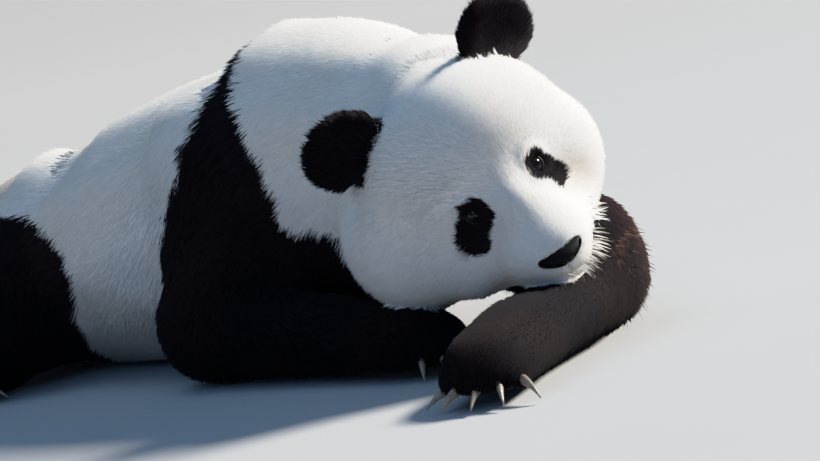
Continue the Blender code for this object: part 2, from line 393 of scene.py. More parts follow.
# ---- the head's place ----
@dataclass(frozen=True)
class HeadPose:
    """How the head is held, in metres and degrees.

    Attributes:
        centre: the head's centre.
        turn: how far it is turned to the panda's right.
        drop: how far it looks down.
        tilt: how far its left side is raised.
    """

    centre: Point = (-0.058, -0.731, 0.258)
    turn: float = 18.0
    drop: float = 26.6
    tilt: float = 29.1

    def frame(self) -> Matrix:
        """The head's own axes.

        Returns:
            A matrix with x forward, y to the panda's left and z up.
        """
        turn, drop, tilt = (math.radians(angle) for angle in (self.turn, self.drop, self.tilt))
        ahead = Vector((-math.sin(turn), -math.cos(turn), 0)) * math.cos(drop)
        forward = ahead - Vector((0, 0, math.sin(drop)))
        level_left = Vector((math.cos(turn), -math.sin(turn), 0))
        level_up = forward.cross(level_left)
        left = level_left * math.cos(tilt) + level_up * math.sin(tilt)
        up = level_up * math.cos(tilt) - level_left * math.sin(tilt)
        return framed(Vector(self.centre), forward, left, up)


HEAD = HeadPose().frame()
HEAD_AXES = np.array(HEAD.to_3x3())
HEAD_ORIGIN = np.array(HEAD.translation)


def in_head(points: np.ndarray) -> np.ndarray:
    """Points of the frame, in the head's own axes."""
    return (points - HEAD_ORIGIN) @ HEAD_AXES


def from_head(points: np.ndarray) -> np.ndarray:
    """Points given in the head's own axes, in the frame."""
    return np.asarray(points, float) @ HEAD_AXES.T + HEAD_ORIGIN


# ---- the flesh ----
@dataclass(frozen=True)
class Limb:
    """Balls strung along stations.

    Attributes:
        stations: for each, a centre and the ball's half sizes.
    """

    stations: tuple[Station, ...]

    def mirrored(self) -> "Limb":
        """The same limb on the right side."""
        return Limb(tuple(((-x, y, z), radii) for (x, y, z), radii in self.stations))

    def add(self, bm: bmesh.types.BMesh, balls: int = 6) -> None:
        """Adds the limb's balls to a bmesh.

        Args:
            bm: the bmesh.
            balls: how many steps lie between two stations.
        """
        for (start, first), (end, last) in zip(self.stations, self.stations[1:]):
            for step in range(balls + 1):
                centre = Vector(start).lerp(Vector(end), step / balls)
                add_ball(bm, centre, Vector(first).lerp(Vector(last), step / balls), detail=2)

    def toe_directions(self, fan: float = 24.0) -> list[Vector]:
        """Directions of five toes, fanned about the line from the first station to the last.

        Args:
            fan: the angle between two toes, in degrees.

        Returns:
            The directions, level.
        """
        (heel, _), (front, _) = self.stations[0], self.stations[-1]
        ahead = Vector((front[0] - heel[0], front[1] - heel[1], 0)).normalized()
        return [Matrix.Rotation(math.radians(fan * place), 3, "Z") @ ahead for place in (-2, -1, 0, 1, 2)]

    def add_toes(self, bm: bmesh.types.BMesh, radius: float = 0.027, low: float = 0.7) -> None:
        """Adds the balls of five toes round the last station.

        Args:
            bm: the bmesh.
            radius: of a toe's ball.
            low: its height as a share of the station's.
        """
        (x, y, z), (half_width, half_length, _) = self.stations[-1]
        reach = (half_width + half_length - radius) / 2
        for outward in self.toe_directions():
            add_ball(bm, Vector((x, y, z * low)) + outward * reach, Vector((radius,) * 3), detail=2)


def add_ball(bm: bmesh.types.BMesh, centre: Vector, radii: Vector, frame: Matrix = Matrix(),
             detail: int = 3) -> None:
    """Adds an ellipsoid to a bmesh.

    Args:
        bm: the bmesh.
        centre: its centre, in the frame's axes.
        radii: its half sizes.
        frame: the axes that it is given in.
        detail: how fine its mesh is.
    """
    place = frame @ Matrix.Translation(centre) @ Matrix.Diagonal((*radii, 1))
    bmesh.ops.create_icosphere(bm, subdivisions=detail, radius=1, matrix=place)


HEAD_BALLS: tuple[Station, ...] = (
    ((0.000, 0.000, 0.008), (0.118, 0.142, 0.128)),     # cranium
    ((-0.060, 0.000, -0.020), (0.120, 0.138, 0.128)),   # back of the head
    ((0.020, 0.074, -0.045), (0.090, 0.084, 0.096)),    # left cheek
    ((0.040, 0.056, -0.076), (0.082, 0.074, 0.066)),    # left jowl
    ((-0.010, -0.115, -0.055), (0.108, 0.098, 0.102)),  # right cheek, pressed wide
    ((0.050, -0.060, -0.070), (0.090, 0.080, 0.070)),   # right jowl
    ((0.045, 0.000, -0.045), (0.090, 0.102, 0.072)),    # face between cheeks and muzzle
    ((0.092, 0.000, -0.008), (0.076, 0.048, 0.050)),    # bridge of the nose
    ((0.143, 0.000, -0.056), (0.080, 0.066, 0.053)),    # muzzle
    ((0.122, 0.000, -0.092), (0.078, 0.061, 0.044)),    # lower jaw
    ((0.092, 0.034, -0.078), (0.078, 0.052, 0.050)),    # left lip
    ((-0.115, 0.005, -0.015), (0.115, 0.118, 0.132)),   # nape
)

SPINE = Limb((
    ((0.0, 0.465, 0.148), (0.180, 0.130, 0.154)),
    ((0.0, 0.360, 0.164), (0.232, 0.140, 0.177)),
    ((0.0, 0.235, 0.169), (0.248, 0.145, 0.186)),
    ((0.0, 0.117, 0.174), (0.262, 0.150, 0.191)),
    ((0.0, -0.020, 0.199), (0.257, 0.150, 0.216)),
    ((0.0, -0.120, 0.208), (0.246, 0.150, 0.220)),
    ((0.0, -0.285, 0.224), (0.216, 0.105, 0.224)),
    ((0.0, -0.337, 0.258), (0.200, 0.102, 0.228)),
    ((0.0, -0.460, 0.255), (0.190, 0.110, 0.216)),
    ((-0.018, -0.560, 0.252), (0.153, 0.118, 0.192)),
))
HAUNCH = Limb((
    ((0.115, 0.179, 0.191), (0.115, 0.150, 0.170)),
    ((0.255, 0.205, 0.130), (0.084, 0.100, 0.112)),
))
SHANK = Limb((
    ((0.250, 0.240, 0.095), (0.074, 0.080, 0.095)),
    ((0.260, 0.455, 0.060), (0.060, 0.065, 0.064)),
))
HIND_FOOT = Limb((
    ((0.285, 0.465, 0.050), (0.058, 0.058, 0.054)),
    ((0.362, 0.240, 0.046), (0.070, 0.070, 0.050)),
))
TAIL = Limb((
    ((0.0, 0.570, 0.185), (0.055, 0.045, 0.050)),
    ((0.0, 0.630, 0.110), (0.042, 0.036, 0.050)),
))
SHOULDER_BLADE = Limb((
    ((0.120, -0.260, 0.270), (0.105, 0.140, 0.150)),
    ((0.160, -0.300, 0.150), (0.095, 0.140, 0.130)),
))


@dataclass(frozen=True)
class Foreleg:
    """A foreleg from the shoulder to the toes.

    Attributes:
        upper_arm: its balls from the shoulder to the elbow.
        forearm: those from there to the wrist.
        paw: those of the foot.
    """

    upper_arm: Limb
    forearm: Limb
    paw: Limb

    @property
    def sections(self) -> tuple[Limb, Limb, Limb]:
        """The foreleg's sections in order."""
        return self.upper_arm, self.forearm, self.paw


FORELEGS = {
    Side.RIGHT: Foreleg(
        Limb((((-0.165, -0.340, 0.150), (0.095, 0.120, 0.120)),
              ((-0.205, -0.270, 0.086), (0.078, 0.085, 0.090)))),
        Limb((((-0.205, -0.280, 0.080), (0.076, 0.080, 0.084)),
              ((-0.185, -0.520, 0.058), (0.066, 0.066, 0.062)))),
        Limb((((-0.180, -0.560, 0.052), (0.066, 0.066, 0.056)),
              ((-0.165, -0.680, 0.044), (0.072, 0.056, 0.048)))),
    ),
    Side.LEFT: Foreleg(
        Limb((((0.150, -0.420, 0.190), (0.090, 0.120, 0.120)),
              ((0.060, -0.780, 0.100), (0.074, 0.080, 0.096)))),
        Limb((((0.048, -0.805, 0.084), (0.074, 0.076, 0.088)),
              ((-0.020, -0.840, 0.055), (0.072, 0.070, 0.058)),
              ((-0.150, -0.885, 0.048), (0.074, 0.074, 0.052)))),
        Limb((((-0.170, -0.895, 0.050), (0.072, 0.072, 0.054)),
              ((-0.270, -0.945, 0.044), (0.064, 0.074, 0.048)))),
    ),
}


@dataclass(frozen=True)
class EyePlace:
    """Where an eye lies in the head.

    Attributes:
        radius: of the eyeball.
        gaze: the way that the left one looks, in the head's own axes.
    """

    radius: float = 0.0115
    gaze: Point = (0.84, 0.20, 0.50)

    def at(self, side: Side) -> tuple[Vector, Vector]:
        """The centre of that side's eye and the direction of its gaze, in the frame."""
        low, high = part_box(f"eye_{side.label}")
        return (Vector(low) + Vector(high)) / 2, (HEAD.to_3x3() @ side.of(self.gaze)).normalized()

    def about(self, side: Side, points: np.ndarray) -> tuple[np.ndarray, np.ndarray, np.ndarray]:
        """Where points lie as seen from that side's eye.

        Args:
            side: the eye's side.
            points: the points, one row each.

        Returns:
            How far off they are, how far along the gaze, and the rest of the way.
        """
        centre, gaze = (np.array(vector) for vector in self.at(side))
        from_eye = points - centre
        along = from_eye @ gaze
        return np.linalg.norm(from_eye, axis=1), along, from_eye - along[:, None] * gaze


@dataclass(frozen=True)
class EarPlace:
    """Where an ear stands on the head, in the head's own axes, given for the left one.

    Attributes:
        seat: its centre.
        axis: the way from its base to its rim.
        facing: the way that its cup faces.
        size: its half sizes: through the cup, across it, and from base to rim.
    """

    seat: Point = (-0.047, 0.121, 0.098)
    axis: Point = (-0.20, 0.66, 0.72)
    facing: Point = (0.85, 0.42, 0.10)
    size: Point = (0.028, 0.066, 0.055)

    def frame(self, side: Side) -> Matrix:
        """That side's ear axes.

        Args:
            side: the ear's side.

        Returns:
            A matrix with x out of its cup, y across it and z from its base to its rim.
        """
        radial = side.of(self.axis).normalized()
        facing = side.of(self.facing)
        facing = (facing - radial * facing.dot(radial)).normalized()
        return HEAD @ framed(side.of(self.seat), facing, radial.cross(facing), radial)


@dataclass(frozen=True)
class NosePlace:
    """Where the nose pad lies, in the head's own axes; the muzzle is pressed a little askew.

    Attributes:
        seat: its centre.
        size: its three half sizes.
        roll: how far it is turned about the way it faces.
        droop: how far its middle hangs below its wings.
        thin: how much lower its upper half is in the middle, from 0 to 1.
    """

    seat: Point = (0.2015, 0.002, -0.0445)
    size: Point = (0.0155, 0.0320, 0.0125)
    roll: float = -5.5
    droop: float = 0.0022
    thin: float = 0.06

    def frame(self) -> Matrix:
        """The pad's axes: forward, left and up."""
        return HEAD @ Matrix.Translation(self.seat) @ Matrix.Rotation(math.radians(self.roll), 4, "X")

    def away(self, points: np.ndarray) -> np.ndarray:
        """How far each point is from the pad's centre: 1 is on its surface.

        Args:
            points: where it is wanted, one row each.

        Returns:
            The distances, where 1 is on the pad's surface.
        """
        near = in_axes(self.frame(), points) / np.array(self.size)
        bow = (1 - near[:, 1] ** 2).clip(0, 1)
        near[:, 2] += bow * self.droop / self.size[2]
        near[:, 2] /= np.where(near[:, 2] > 0, 1 - self.thin * bow, 1)
        return np.linalg.norm(near, axis=1)


EYES = EyePlace()
EARS = EarPlace()
NOSE = NosePlace()


# ---- the lie of the coat ----
@dataclass(frozen=True)
class Fur:
    """The coat of one part, in millimetres.

    Attributes:
        depth: how far it stands over the skin.
        length: of its tufts, along the skin.
        width: of its tufts.
        crowd: how many tufts grow on a square centimetre.
    """

    depth: float
    length: float
    width: float
    crowd: float


@dataclass(frozen=True)
class Stretch:
    """A line in the body that gives the coat round it its fur and its lie.

    Attributes:
        region: the piece of coat that grows there.
        start: the end that the fur points away from.
        end: the end that it points to.
        reach: how far from the line the coat lies.
        fur: the fur there.
        on_head: whether its points are in the head's own axes.
        fall: how far the fur hangs, against how far it follows the line.
    """

    region: Region
    start: Point
    end: Point
    reach: float
    fur: Fur
    on_head: bool = False
    fall: float = 0.30

    def on(self, side: Side) -> "Stretch":
        """The stretch of that side, where this one is given for the left."""
        sign = np.array((1, side.value, 1) if self.on_head else (side.value, 1, 1))
        return replace(self, start=tuple(self.start * sign), end=tuple(self.end * sign))

    def ends(self) -> tuple[np.ndarray, np.ndarray]:
        """Its two ends in the frame."""
        both = np.array([self.start, self.end])
        return tuple(from_head(both) if self.on_head else both)


MUZZLE_FUR = Fur(2.2, 7.0, 0.75, 115.0)
FACE_FUR = Fur(3.0, 9.5, 0.85, 95.0)
BROW_FUR = Fur(5.0, 16.0, 0.95, 62.0)
CHIN_FUR = Fur(5.0, 15.0, 0.70, 95.0)
CROWN_FUR = Fur(8.0, 24.0, 1.10, 42.0)
CHEEK_FUR = Fur(8.5, 26.0, 1.15, 38.0)
NAPE_FUR = Fur(10.0, 30.0, 1.4, 26.0)
EAR_FUR = Fur(7.0, 17.0, 1.1, 34.0)
NECK_FUR = Fur(13.0, 37.0, 1.55, 19.5)
TRUNK_FUR = Fur(14.0, 40.0, 1.75, 13.6)
HAUNCH_FUR = Fur(14.0, 38.0, 1.95, 10.5)
LEG_FUR = Fur(11.0, 28.0, 1.7, 12.3)
PAW_FUR = Fur(6.5, 15.0, 1.35, 22.0)


def body_stretches() -> list[Stretch]:
    """The stretches of the neck, trunk, tail and legs.

    Returns:
        The stretches, in the frame.
    """
    found = [
        Stretch(Region.NECK, (-0.02, -0.60, 0.26), (0.0, -0.38, 0.26), 0.20, NECK_FUR, fall=0.85),
        Stretch(Region.SHOULDERS, (0.0, -0.36, 0.25), (0.0, -0.22, 0.22), 0.23, TRUNK_FUR, fall=0.70),
        Stretch(Region.BACK, (0.0, -0.16, 0.21), (0.0, 0.16, 0.19), 0.25, TRUNK_FUR, fall=0.75),
        Stretch(Region.RUMP, (0.0, 0.22, 0.18), (0.0, 0.50, 0.15), 0.21, TRUNK_FUR, fall=0.55),
        Stretch(Region.RUMP, (0.0, 0.57, 0.185), (0.0, 0.64, 0.10), 0.055, LEG_FUR),
    ]
    paired = (
        Stretch(Region.SHOULDERS, (0.12, -0.26, 0.27), (0.16, -0.30, 0.15), 0.125, TRUNK_FUR),
        Stretch(Region.HIND_LEGS, (0.16, 0.36, 0.19), (0.255, 0.205, 0.13), 0.115, HAUNCH_FUR),
        Stretch(Region.HIND_LEGS, (0.25, 0.26, 0.095), (0.26, 0.44, 0.06), 0.075, LEG_FUR),
        Stretch(Region.HIND_LEGS, (0.29, 0.45, 0.05), (0.345, 0.29, 0.045), 0.062, LEG_FUR),
        Stretch(Region.HIND_LEGS, (0.355, 0.26, 0.045), (0.37, 0.19, 0.04), 0.060, PAW_FUR),
    )
    for side in Side:
        found += [stretch.on(side) for stretch in paired]
        leg = FORELEGS[side]
        for limb, reach, fur in zip(leg.sections, (0.100, 0.075, 0.062), (LEG_FUR, LEG_FUR, PAW_FUR)):
            places = [place for place, _ in limb.stations]
            found += [Stretch(Region.FORELEGS, *ends, reach, fur) for ends in zip(places, places[1:])]
    return found


def head_stretches() -> list[Stretch]:
    """The stretches of the head and ears.

    Returns:
        The stretches, in the head's own axes.
    """
    found = [
        Stretch(Region.FACE, (0.200, 0.0, -0.055), (0.160, 0.0, -0.060), 0.050, MUZZLE_FUR, True),
        Stretch(Region.FACE, (0.150, 0.0, -0.060), (0.110, 0.0, -0.050), 0.070, FACE_FUR, True),
        Stretch(Region.FACE, (0.150, 0.0, -0.010), (0.100, 0.0, 0.000), 0.040, FACE_FUR, True),
        Stretch(Region.HEAD, (0.060, 0.0, 0.050), (0.020, 0.0, 0.070), 0.075, BROW_FUR, True),
        Stretch(Region.HEAD, (0.000, 0.0, 0.030), (-0.060, 0.0, 0.030), 0.125, CROWN_FUR, True),
        Stretch(Region.HEAD, (0.120, 0.0, -0.110), (0.060, 0.0, -0.120), 0.055, CHIN_FUR, True),
        Stretch(Region.NECK, (-0.100, 0.0, 0.000), (-0.150, 0.0, -0.010), 0.145, NAPE_FUR, True, 0.60),
    ]
    paired = (
        Stretch(Region.FACE, (0.100, 0.045, 0.012), (0.085, 0.070, -0.022), 0.026, MUZZLE_FUR, True),
        Stretch(Region.HEAD, (0.040, 0.075, -0.050), (-0.030, 0.100, -0.050), 0.090, CHEEK_FUR, True, 0.75),
    )
    return found + [stretch.on(side) for side in Side for stretch in paired]


@dataclass(frozen=True)
class Lie:
    """What the coat is like at some points of the skin, one row each, in metres.

    Attributes:
        depth: how far it stands over the skin.
        length: of its tufts, along the skin.
        width: of its tufts.
        crowd: how many tufts grow on a square centimetre.
        flow: the way that they point along the skin.
        region: the number of the region that each point belongs to.
        black: how black the coat is, from 0 to 1.
    """

    depth: np.ndarray
    length: np.ndarray
    width: np.ndarray
    crowd: np.ndarray
    flow: np.ndarray
    region: np.ndarray
    black: np.ndarray

    def picked(self, rows: np.ndarray, shares: np.ndarray) -> "Lie":
        """The coat at points inside triangles.

        Args:
            rows: the three corners of each point's triangle.
            shares: how much each corner counts.

        Returns:
            The coat at those points.
        """
        depth, length, width, crowd, black = (
            (values[rows] * shares).sum(1)
            for values in (self.depth, self.length, self.width, self.crowd, self.black))
        flow = unit((self.flow[rows] * shares[:, :, None]).sum(1))
        return Lie(depth, length, width, crowd, flow, self.region[rows[:, 0]], black)


@dataclass(frozen=True)
class Patch:
    """The black patch round an eye, between two round ends.

    Attributes:
        top: the upper end's place, left and up in the head's own axes.
        end: the lower end's place.
        top_radius: radius of the upper end.
        end_radius: radius of the lower one.
        square: how square its outline is, where 2 is round.
    """

    top: tuple[float, float]
    end: tuple[float, float]
    top_radius: float
    end_radius: float
    square: float = 2.6

    def inside(self, local: np.ndarray) -> np.ndarray:
        """How far inside the patch each place is.

        Args:
            local: the places, in the head's own axes.

        Returns:
            The distances, which are less than nothing outside.
        """
        top, along = np.array(self.top), np.array(self.end) - np.array(self.top)
        share = ((local[:, 1:] - top) @ along / (along @ along)).clip(0, 1)
        radius = self.top_radius + (self.end_radius - self.top_radius) * share
        gap = np.abs(local[:, 1:] - top - share[:, None] * along)
        return radius - (gap ** self.square).sum(1) ** (1 / self.square)


@dataclass(frozen=True)
class Markings:
    """Where the coat is black.

    Attributes:
        band: the shoulders' band, as stations of height, front edge and rear edge.
        hip: the hind legs' front edge, as stations of height and place along the body.
        rump: their upper edge, as stations of place along the body and height.
        inner: how far from the middle of the body the hind legs' black starts.
        patches: the patches round the eyes.
        softness: half the width of the edges.
        waver: ripples of the edges, each as a length, a seed and a height.
        leg: how far a point belongs to the legs where their black starts, and is full.
        behind: the place along the body behind which the hip's edge bounds the legs' black.
        patch_edge: half the width of the patches' edges.
        patch_waver: the ripples of those edges.
        ear_reach: how much larger than an ear its black is.
        ear_edge: half the width of its edge, as a share of the ear.
        ear_waver: the ripples of that edge.
        face: how far forward in the head the patches' places start.
    """

    band: tuple[Point, ...] = (
        (0.00, -0.60, -0.190), (0.10, -0.52, -0.195), (0.15, -0.535, -0.200), (0.185, -0.545, -0.212),
        (0.195, -0.525, -0.222), (0.203, -0.470, -0.228), (0.215, -0.447, -0.236), (0.25, -0.452, -0.254),
        (0.295, -0.436, -0.275), (0.334, -0.416, -0.292), (0.383, -0.368, -0.307), (0.41, -0.350, -0.310),
        (0.43, -0.335, -0.306), (0.45, -0.320, -0.286), (0.48, -0.308, -0.262),
    )
    hip: tuple[tuple[float, float], ...] = (
        (0.0, 0.150), (0.058, 0.112), (0.096, 0.062), (0.137, 0.034), (0.176, 0.012), (0.202, 0.016),
        (0.230, 0.053), (0.253, 0.103), (0.265, 0.150), (0.272, 0.300), (0.285, 0.600),
    )
    rump: tuple[tuple[float, float], ...] = (
        (0.15, 0.280), (0.30, 0.262), (0.38, 0.225), (0.44, 0.150), (0.48, 0.060), (0.51, -0.050),
    )
    inner: float = 0.10
    patches: tuple[tuple[Side, Patch], ...] = (
        (Side.LEFT, Patch((0.0500, 0.0165), (0.0680, -0.0260), 0.0155, 0.0122)),
        (Side.RIGHT, Patch((-0.0455, 0.0150), (-0.0710, -0.0240), 0.0175, 0.0165)),
    )
    softness: float = 0.010
    waver: tuple[tuple[float, int, float], ...] = ((0.055, 11, 0.006), (0.017, 12, 0.003))
    leg: tuple[float, float] = (0.35, 0.6)
    behind: float = -0.1
    patch_edge: float = 0.0012
    patch_waver: tuple[float, int, float] = (0.012, 13, 0.0007)
    ear_reach: float = 1.03
    ear_edge: float = 0.06
    ear_waver: tuple[float, int, float] = (0.02, 14, 0.03)
    face: float = 0.04

    def share(self, points: np.ndarray, legs: np.ndarray, head: np.ndarray) -> np.ndarray:
        """How black the coat is.

        Args:
            points: places on the skin.
            legs: how far each point belongs to the legs, from 0 to 1.
            head: how far it belongs to the head or neck, from 0 to 1.

        Returns:
            A share from 0 to 1 for each point.
        """
        ragged = sum(ripple(points, length, seed) * height for length, seed, height in self.waver)
        heights, fronts, rears = np.array(self.band).T
        front = np.interp(points[:, 2], heights, fronts)
        rear = np.interp(points[:, 2], heights, rears)
        band = np.minimum(points[:, 1] - front, rear - points[:, 1])
        ahead = points[:, 1] - np.interp(points[:, 2], *np.array(self.hip).T)
        hip = np.minimum(ahead, np.interp(points[:, 1], *np.array(self.rump).T) - points[:, 2])
        hind = np.minimum(hip, np.abs(points[:, 0]) - self.inner)
        band, hind, ahead = (eased(inside + ragged, -self.softness, self.softness)
                             for inside in (band, hind, ahead))
        black = np.maximum(band, hind)
        leg = eased(legs, *self.leg) * np.where(points[:, 1] > self.behind, ahead, 1.0)
        black = np.maximum(black * (1 - head), leg)
        return np.maximum(black, self.on_head(points))

    def on_head(self, points: np.ndarray) -> np.ndarray:
        """How black the ears and the patches round the eyes make each point.

        Args:
            points: where it is wanted, one row each.

        Returns:
            A share from 0 to 1 for each point.
        """
        local = in_head(points)
        black = np.zeros(len(points))
        length, seed, height = self.patch_waver
        round_patch = ripple(points, length, seed) * height
        length, seed, height = self.ear_waver
        round_ear = ripple(points, length, seed) * height
        for side, patch in self.patches:
            inside = patch.inside(local) + round_patch
            patch = eased(inside, -self.patch_edge, self.patch_edge) * (local[:, 0] > self.face)
            ear = np.array(EARS.size) * self.ear_reach
            size = np.linalg.norm(in_axes(EARS.frame(side), points) / ear, axis=1) + round_ear
            black = np.maximum.reduce([black, patch, eased(1.0 - size, -self.ear_edge, self.ear_edge)])
        return black


@dataclass
class CoatMap:
    """Works out the coat's fur, lie and markings anywhere on the body.

    Attributes:
        crisp: how suddenly one stretch's fur gives way to the next one's.
        nearest: no point counts as nearer to a stretch than this.
        shorter: how much shorter the tufts are at the markings' edges.
        thinner: how much thinner they are there.
        base: how far under its base an ear's fur starts to fan out, as a share of its half height.
        seen: the place along a tuft, from its root, that shows the colour of the markings.
        stretches: the lines in the body that give the fur and its lie.
        markings: where the coat is black.
    """

    crisp: int = 6
    nearest: float = 0.004
    shorter: float = 0.25
    thinner: float = 0.35
    base: float = 0.9
    seen: float = 0.5
    stretches: list[Stretch] = field(default_factory=lambda: body_stretches() + head_stretches())
    markings: Markings = Markings()

    def at(self, points: np.ndarray, normals: np.ndarray, on_foreleg: np.ndarray) -> Lie:
        """The coat at places on the skin.

        Args:
            points: the places, one row each.
            normals: the skin's outward directions there.
            on_foreleg: whether each place is on a foreleg.

        Returns:
            The coat at each of them.
        """
        weights = np.empty((len(self.stretches), len(points)))
        furs = np.array([(s.fur.depth, s.fur.length, s.fur.width, s.fur.crowd) for s in self.stretches])
        leads = np.zeros((len(points), 3))
        nose = from_head(NOSE.seat)
        for row, stretch in enumerate(self.stretches):
            start, end = stretch.ends()
            away = np.maximum(line_distance(points, start, end), self.nearest)
            belongs = on_foreleg == (stretch.region is Region.FORELEGS)
            weights[row] = (stretch.reach / away) ** self.crisp * belongs
        weights /= weights.sum(0)
        for row, stretch in enumerate(self.stretches):
            start, end = stretch.ends()
            lead = unit(points - nose) if stretch.on_head else unit(end - start)
            leads += weights[row][:, None] * (lead - np.array((0, 0, stretch.fall)))
        values = weights.T @ furs
        legs = sum(weights[row] for row, s in enumerate(self.stretches)
                   if s.region in (Region.FORELEGS, Region.HIND_LEGS))
        head = sum(weights[row] for row, s in enumerate(self.stretches) if s.on_head)
        labels = np.array([s.region.number for s in self.stretches])[weights.argmax(0)]
        labels, leads, values = self.with_ears(points, labels, leads, values, on_foreleg)
        flow = unit(leads - dots(leads, normals) * normals)
        depth, length, width, crowd = values.T
        seen = points + flow * (length * MILLIMETRE * self.seen)[:, None]
        black = self.markings.share(seen, legs, head)
        edge = 4 * black * (1 - black)
        length, width = length * (1 - self.shorter * edge), width * (1 - self.thinner * edge)
        return Lie(depth * MILLIMETRE, length * MILLIMETRE, width * MILLIMETRE, crowd * (1 + edge), flow,
                   labels, black)

    def with_ears(self, points: np.ndarray, labels: np.ndarray, leads: np.ndarray, values: np.ndarray,
                  on_foreleg: np.ndarray) -> tuple[np.ndarray, np.ndarray, np.ndarray]:
        """Changes what the coat is like on the ears.

        Args:
            points: places on the skin.
            labels: the number of each one's region.
            leads: the way that its fur is led.
            values: its fur's sizes.
            on_foreleg: whether it is on a foreleg.

        Returns:
            The labels, leads and values.
        """
        for side in Side:
            frame = EARS.frame(side)
            near = in_axes(frame, points)
            on_ear = (np.linalg.norm(near / np.array(EARS.size), axis=1) < 1.0) & ~on_foreleg
            outward = unit(near + np.array((0, 0, EARS.size[2] * self.base))) @ np.array(frame.to_3x3()).T
            labels = np.where(on_ear, Region.EARS.number, labels)
            leads = np.where(on_ear[:, None], outward, leads)
            fur = np.array((EAR_FUR.depth, EAR_FUR.length, EAR_FUR.width, EAR_FUR.crowd))
            values = np.where(on_ear[:, None], fur, values)
        return labels, leads, values


# ---- the coat's colours ----
CREAM, WARM_CREAM = (0.87, 0.85, 0.81), (0.83, 0.77, 0.68)
# The second of these colours is painted shade for the underside of the jaw.
RUMP_STAIN, PAINTED_CHIN_SHADE, TAN = (0.62, 0.50, 0.42), (0.42, 0.36, 0.31), (0.66, 0.49, 0.30)
COLD_BLACK, WARM_BLACK = (0.0055, 0.0042, 0.0066), (0.0105, 0.0060, 0.0072)
# The second of these colours is painted rim light: a reddish brown for black fur lit at its edge by the sun.
LIP_BLACK, PAINTED_RIM_LIGHT_BROWN = (0.020, 0.013, 0.013), (0.055, 0.019, 0.016)
TANS: tuple[tuple[Point, float, float], ...] = (
    ((0.115, 0.086, -0.036), 0.024, 0.55),      # under the left eye
    ((-0.055, -0.150, 0.055), 0.022, 0.60),     # under the right ear
)


def coat_colours(points: np.ndarray, black: np.ndarray) -> np.ndarray:
    """The coat's colours: cream white and brownish black, each with soft drifts of tint, with painted shade
    under the jaw and painted reddish rim light on the outer side of the left forearm.

    Args:
        points: places on the skin.
        black: how black the coat is at each.

    Returns:
        One colour for each place.
    """
    drift = (ripple(points, 0.16, 21) * 0.5 + 0.5).clip(0, 1)[:, None]
    white = mixed(CREAM, WARM_CREAM, drift * 0.5)
    white = mixed(white, RUMP_STAIN, eased(points[:, 1], 0.20, 0.50)[:, None] * 0.45)
    # Painted shade: the white darkens towards the underside of the jaw.
    white = mixed(white, PAINTED_CHIN_SHADE, eased(-in_head(points)[:, 2], 0.100, 0.150)[:, None] * 0.55)
    for place, reach, share in TANS:
        away = np.linalg.norm(points - from_head(place), axis=1)
        white = mixed(white, TAN, (np.exp(-(away / reach) ** 2) * share)[:, None])
    # Painted rim light: reddish brown added to the black on the outer side of the left forearm.
    outer = eased(points[:, 0], 0.05, 0.17) * eased(-points[:, 1], 0.55, 0.75)
    dark = mixed(COLD_BLACK, WARM_BLACK, drift) + np.array(PAINTED_RIM_LIGHT_BROWN) * outer[:, None]
    return mixed(white, dark, black[:, None])


# ---- finishes ----
class Recipe:
    """A new material, with what the finishes share.

    Attributes:
        material: the material.
        nodes: its nodes.
        links: the links between them.
        shader: the node that its surface comes from.
    """

    def __init__(self, name: str) -> None:
        """Starts a material of that name.

        Args:
            name: the material's name.
        """
        self.material = bpy.data.materials.new(name)
        self.material.use_nodes = True
        self.nodes, self.links = self.material.node_tree.nodes, self.material.node_tree.links
        self.shader = self.nodes["Principled BSDF"]

    def noise(self, grains: float, detail: float) -> bpy.types.NodeSocket:
        """Noise in the piece's own space.

        Args:
            grains: how many lie along a metre.
            detail: how many finer noises it holds.

        Returns:
            Its values, from 0 to 1.
        """
        place, noise = self.nodes.new("ShaderNodeTexCoord"), self.nodes.new("ShaderNodeTexNoise")
        noise.inputs["Scale"].default_value = grains
        noise.inputs["Detail"].default_value = detail
        self.links.new(place.outputs["Object"], noise.inputs["Vector"])
        return noise.outputs["Fac"]

    def attribute(self, name: str, output: str) -> bpy.types.NodeSocket:
        """What one of the piece's own attributes says.

        Args:
            name: the attribute.
            output: the kind of value that is wanted.

        Returns:
            The value.
        """
        node = self.nodes.new("ShaderNodeAttribute")
        node.attribute_name = name
        return node.outputs[output]

    def ramp(self, source: bpy.types.NodeSocket, *stops: tuple[float, Point]) -> bpy.types.NodeSocket:
        """Turns a value into colours.

        Args:
            source: the value.
            stops: places from 0 to 1, each with its colour.

        Returns:
            The colour.
        """
        node = self.nodes.new("ShaderNodeValToRGB")
        elements = node.color_ramp.elements
        while len(elements) < len(stops):
            elements.new(0.5)
        for element, (position, colour) in zip(elements, stops):
            element.position = position
            element.color = (*colour, 1)
        self.links.new(source, node.inputs["Fac"])
        return node.outputs["Color"]

    def raise_by(self, source: bpy.types.NodeSocket, height: float) -> None:
        """Lets the surface stand out by up to that height, as the source says.

        Args:
            source: the value, from 0 to 1.
            height: in metres.
        """
        node = self.nodes.new("ShaderNodeBump")
        node.inputs["Distance"].default_value = height
        self.links.new(source, node.inputs["Height"])
        self.links.new(node.outputs["Normal"], self.shader.inputs["Normal"])

    def done(self, colour: bpy.types.NodeSocket, values: dict[str, float]) -> bpy.types.Material:
        """The material, of that colour and with those values in its shader.

        Args:
            colour: the surface's colour.
            values: what the shader's other inputs are set to.

        Returns:
            The material.
        """
        self.links.new(colour, self.shader.inputs["Base Color"])
        for name, value in values.items():
            self.shader.inputs[name].default_value = value
        return self.material


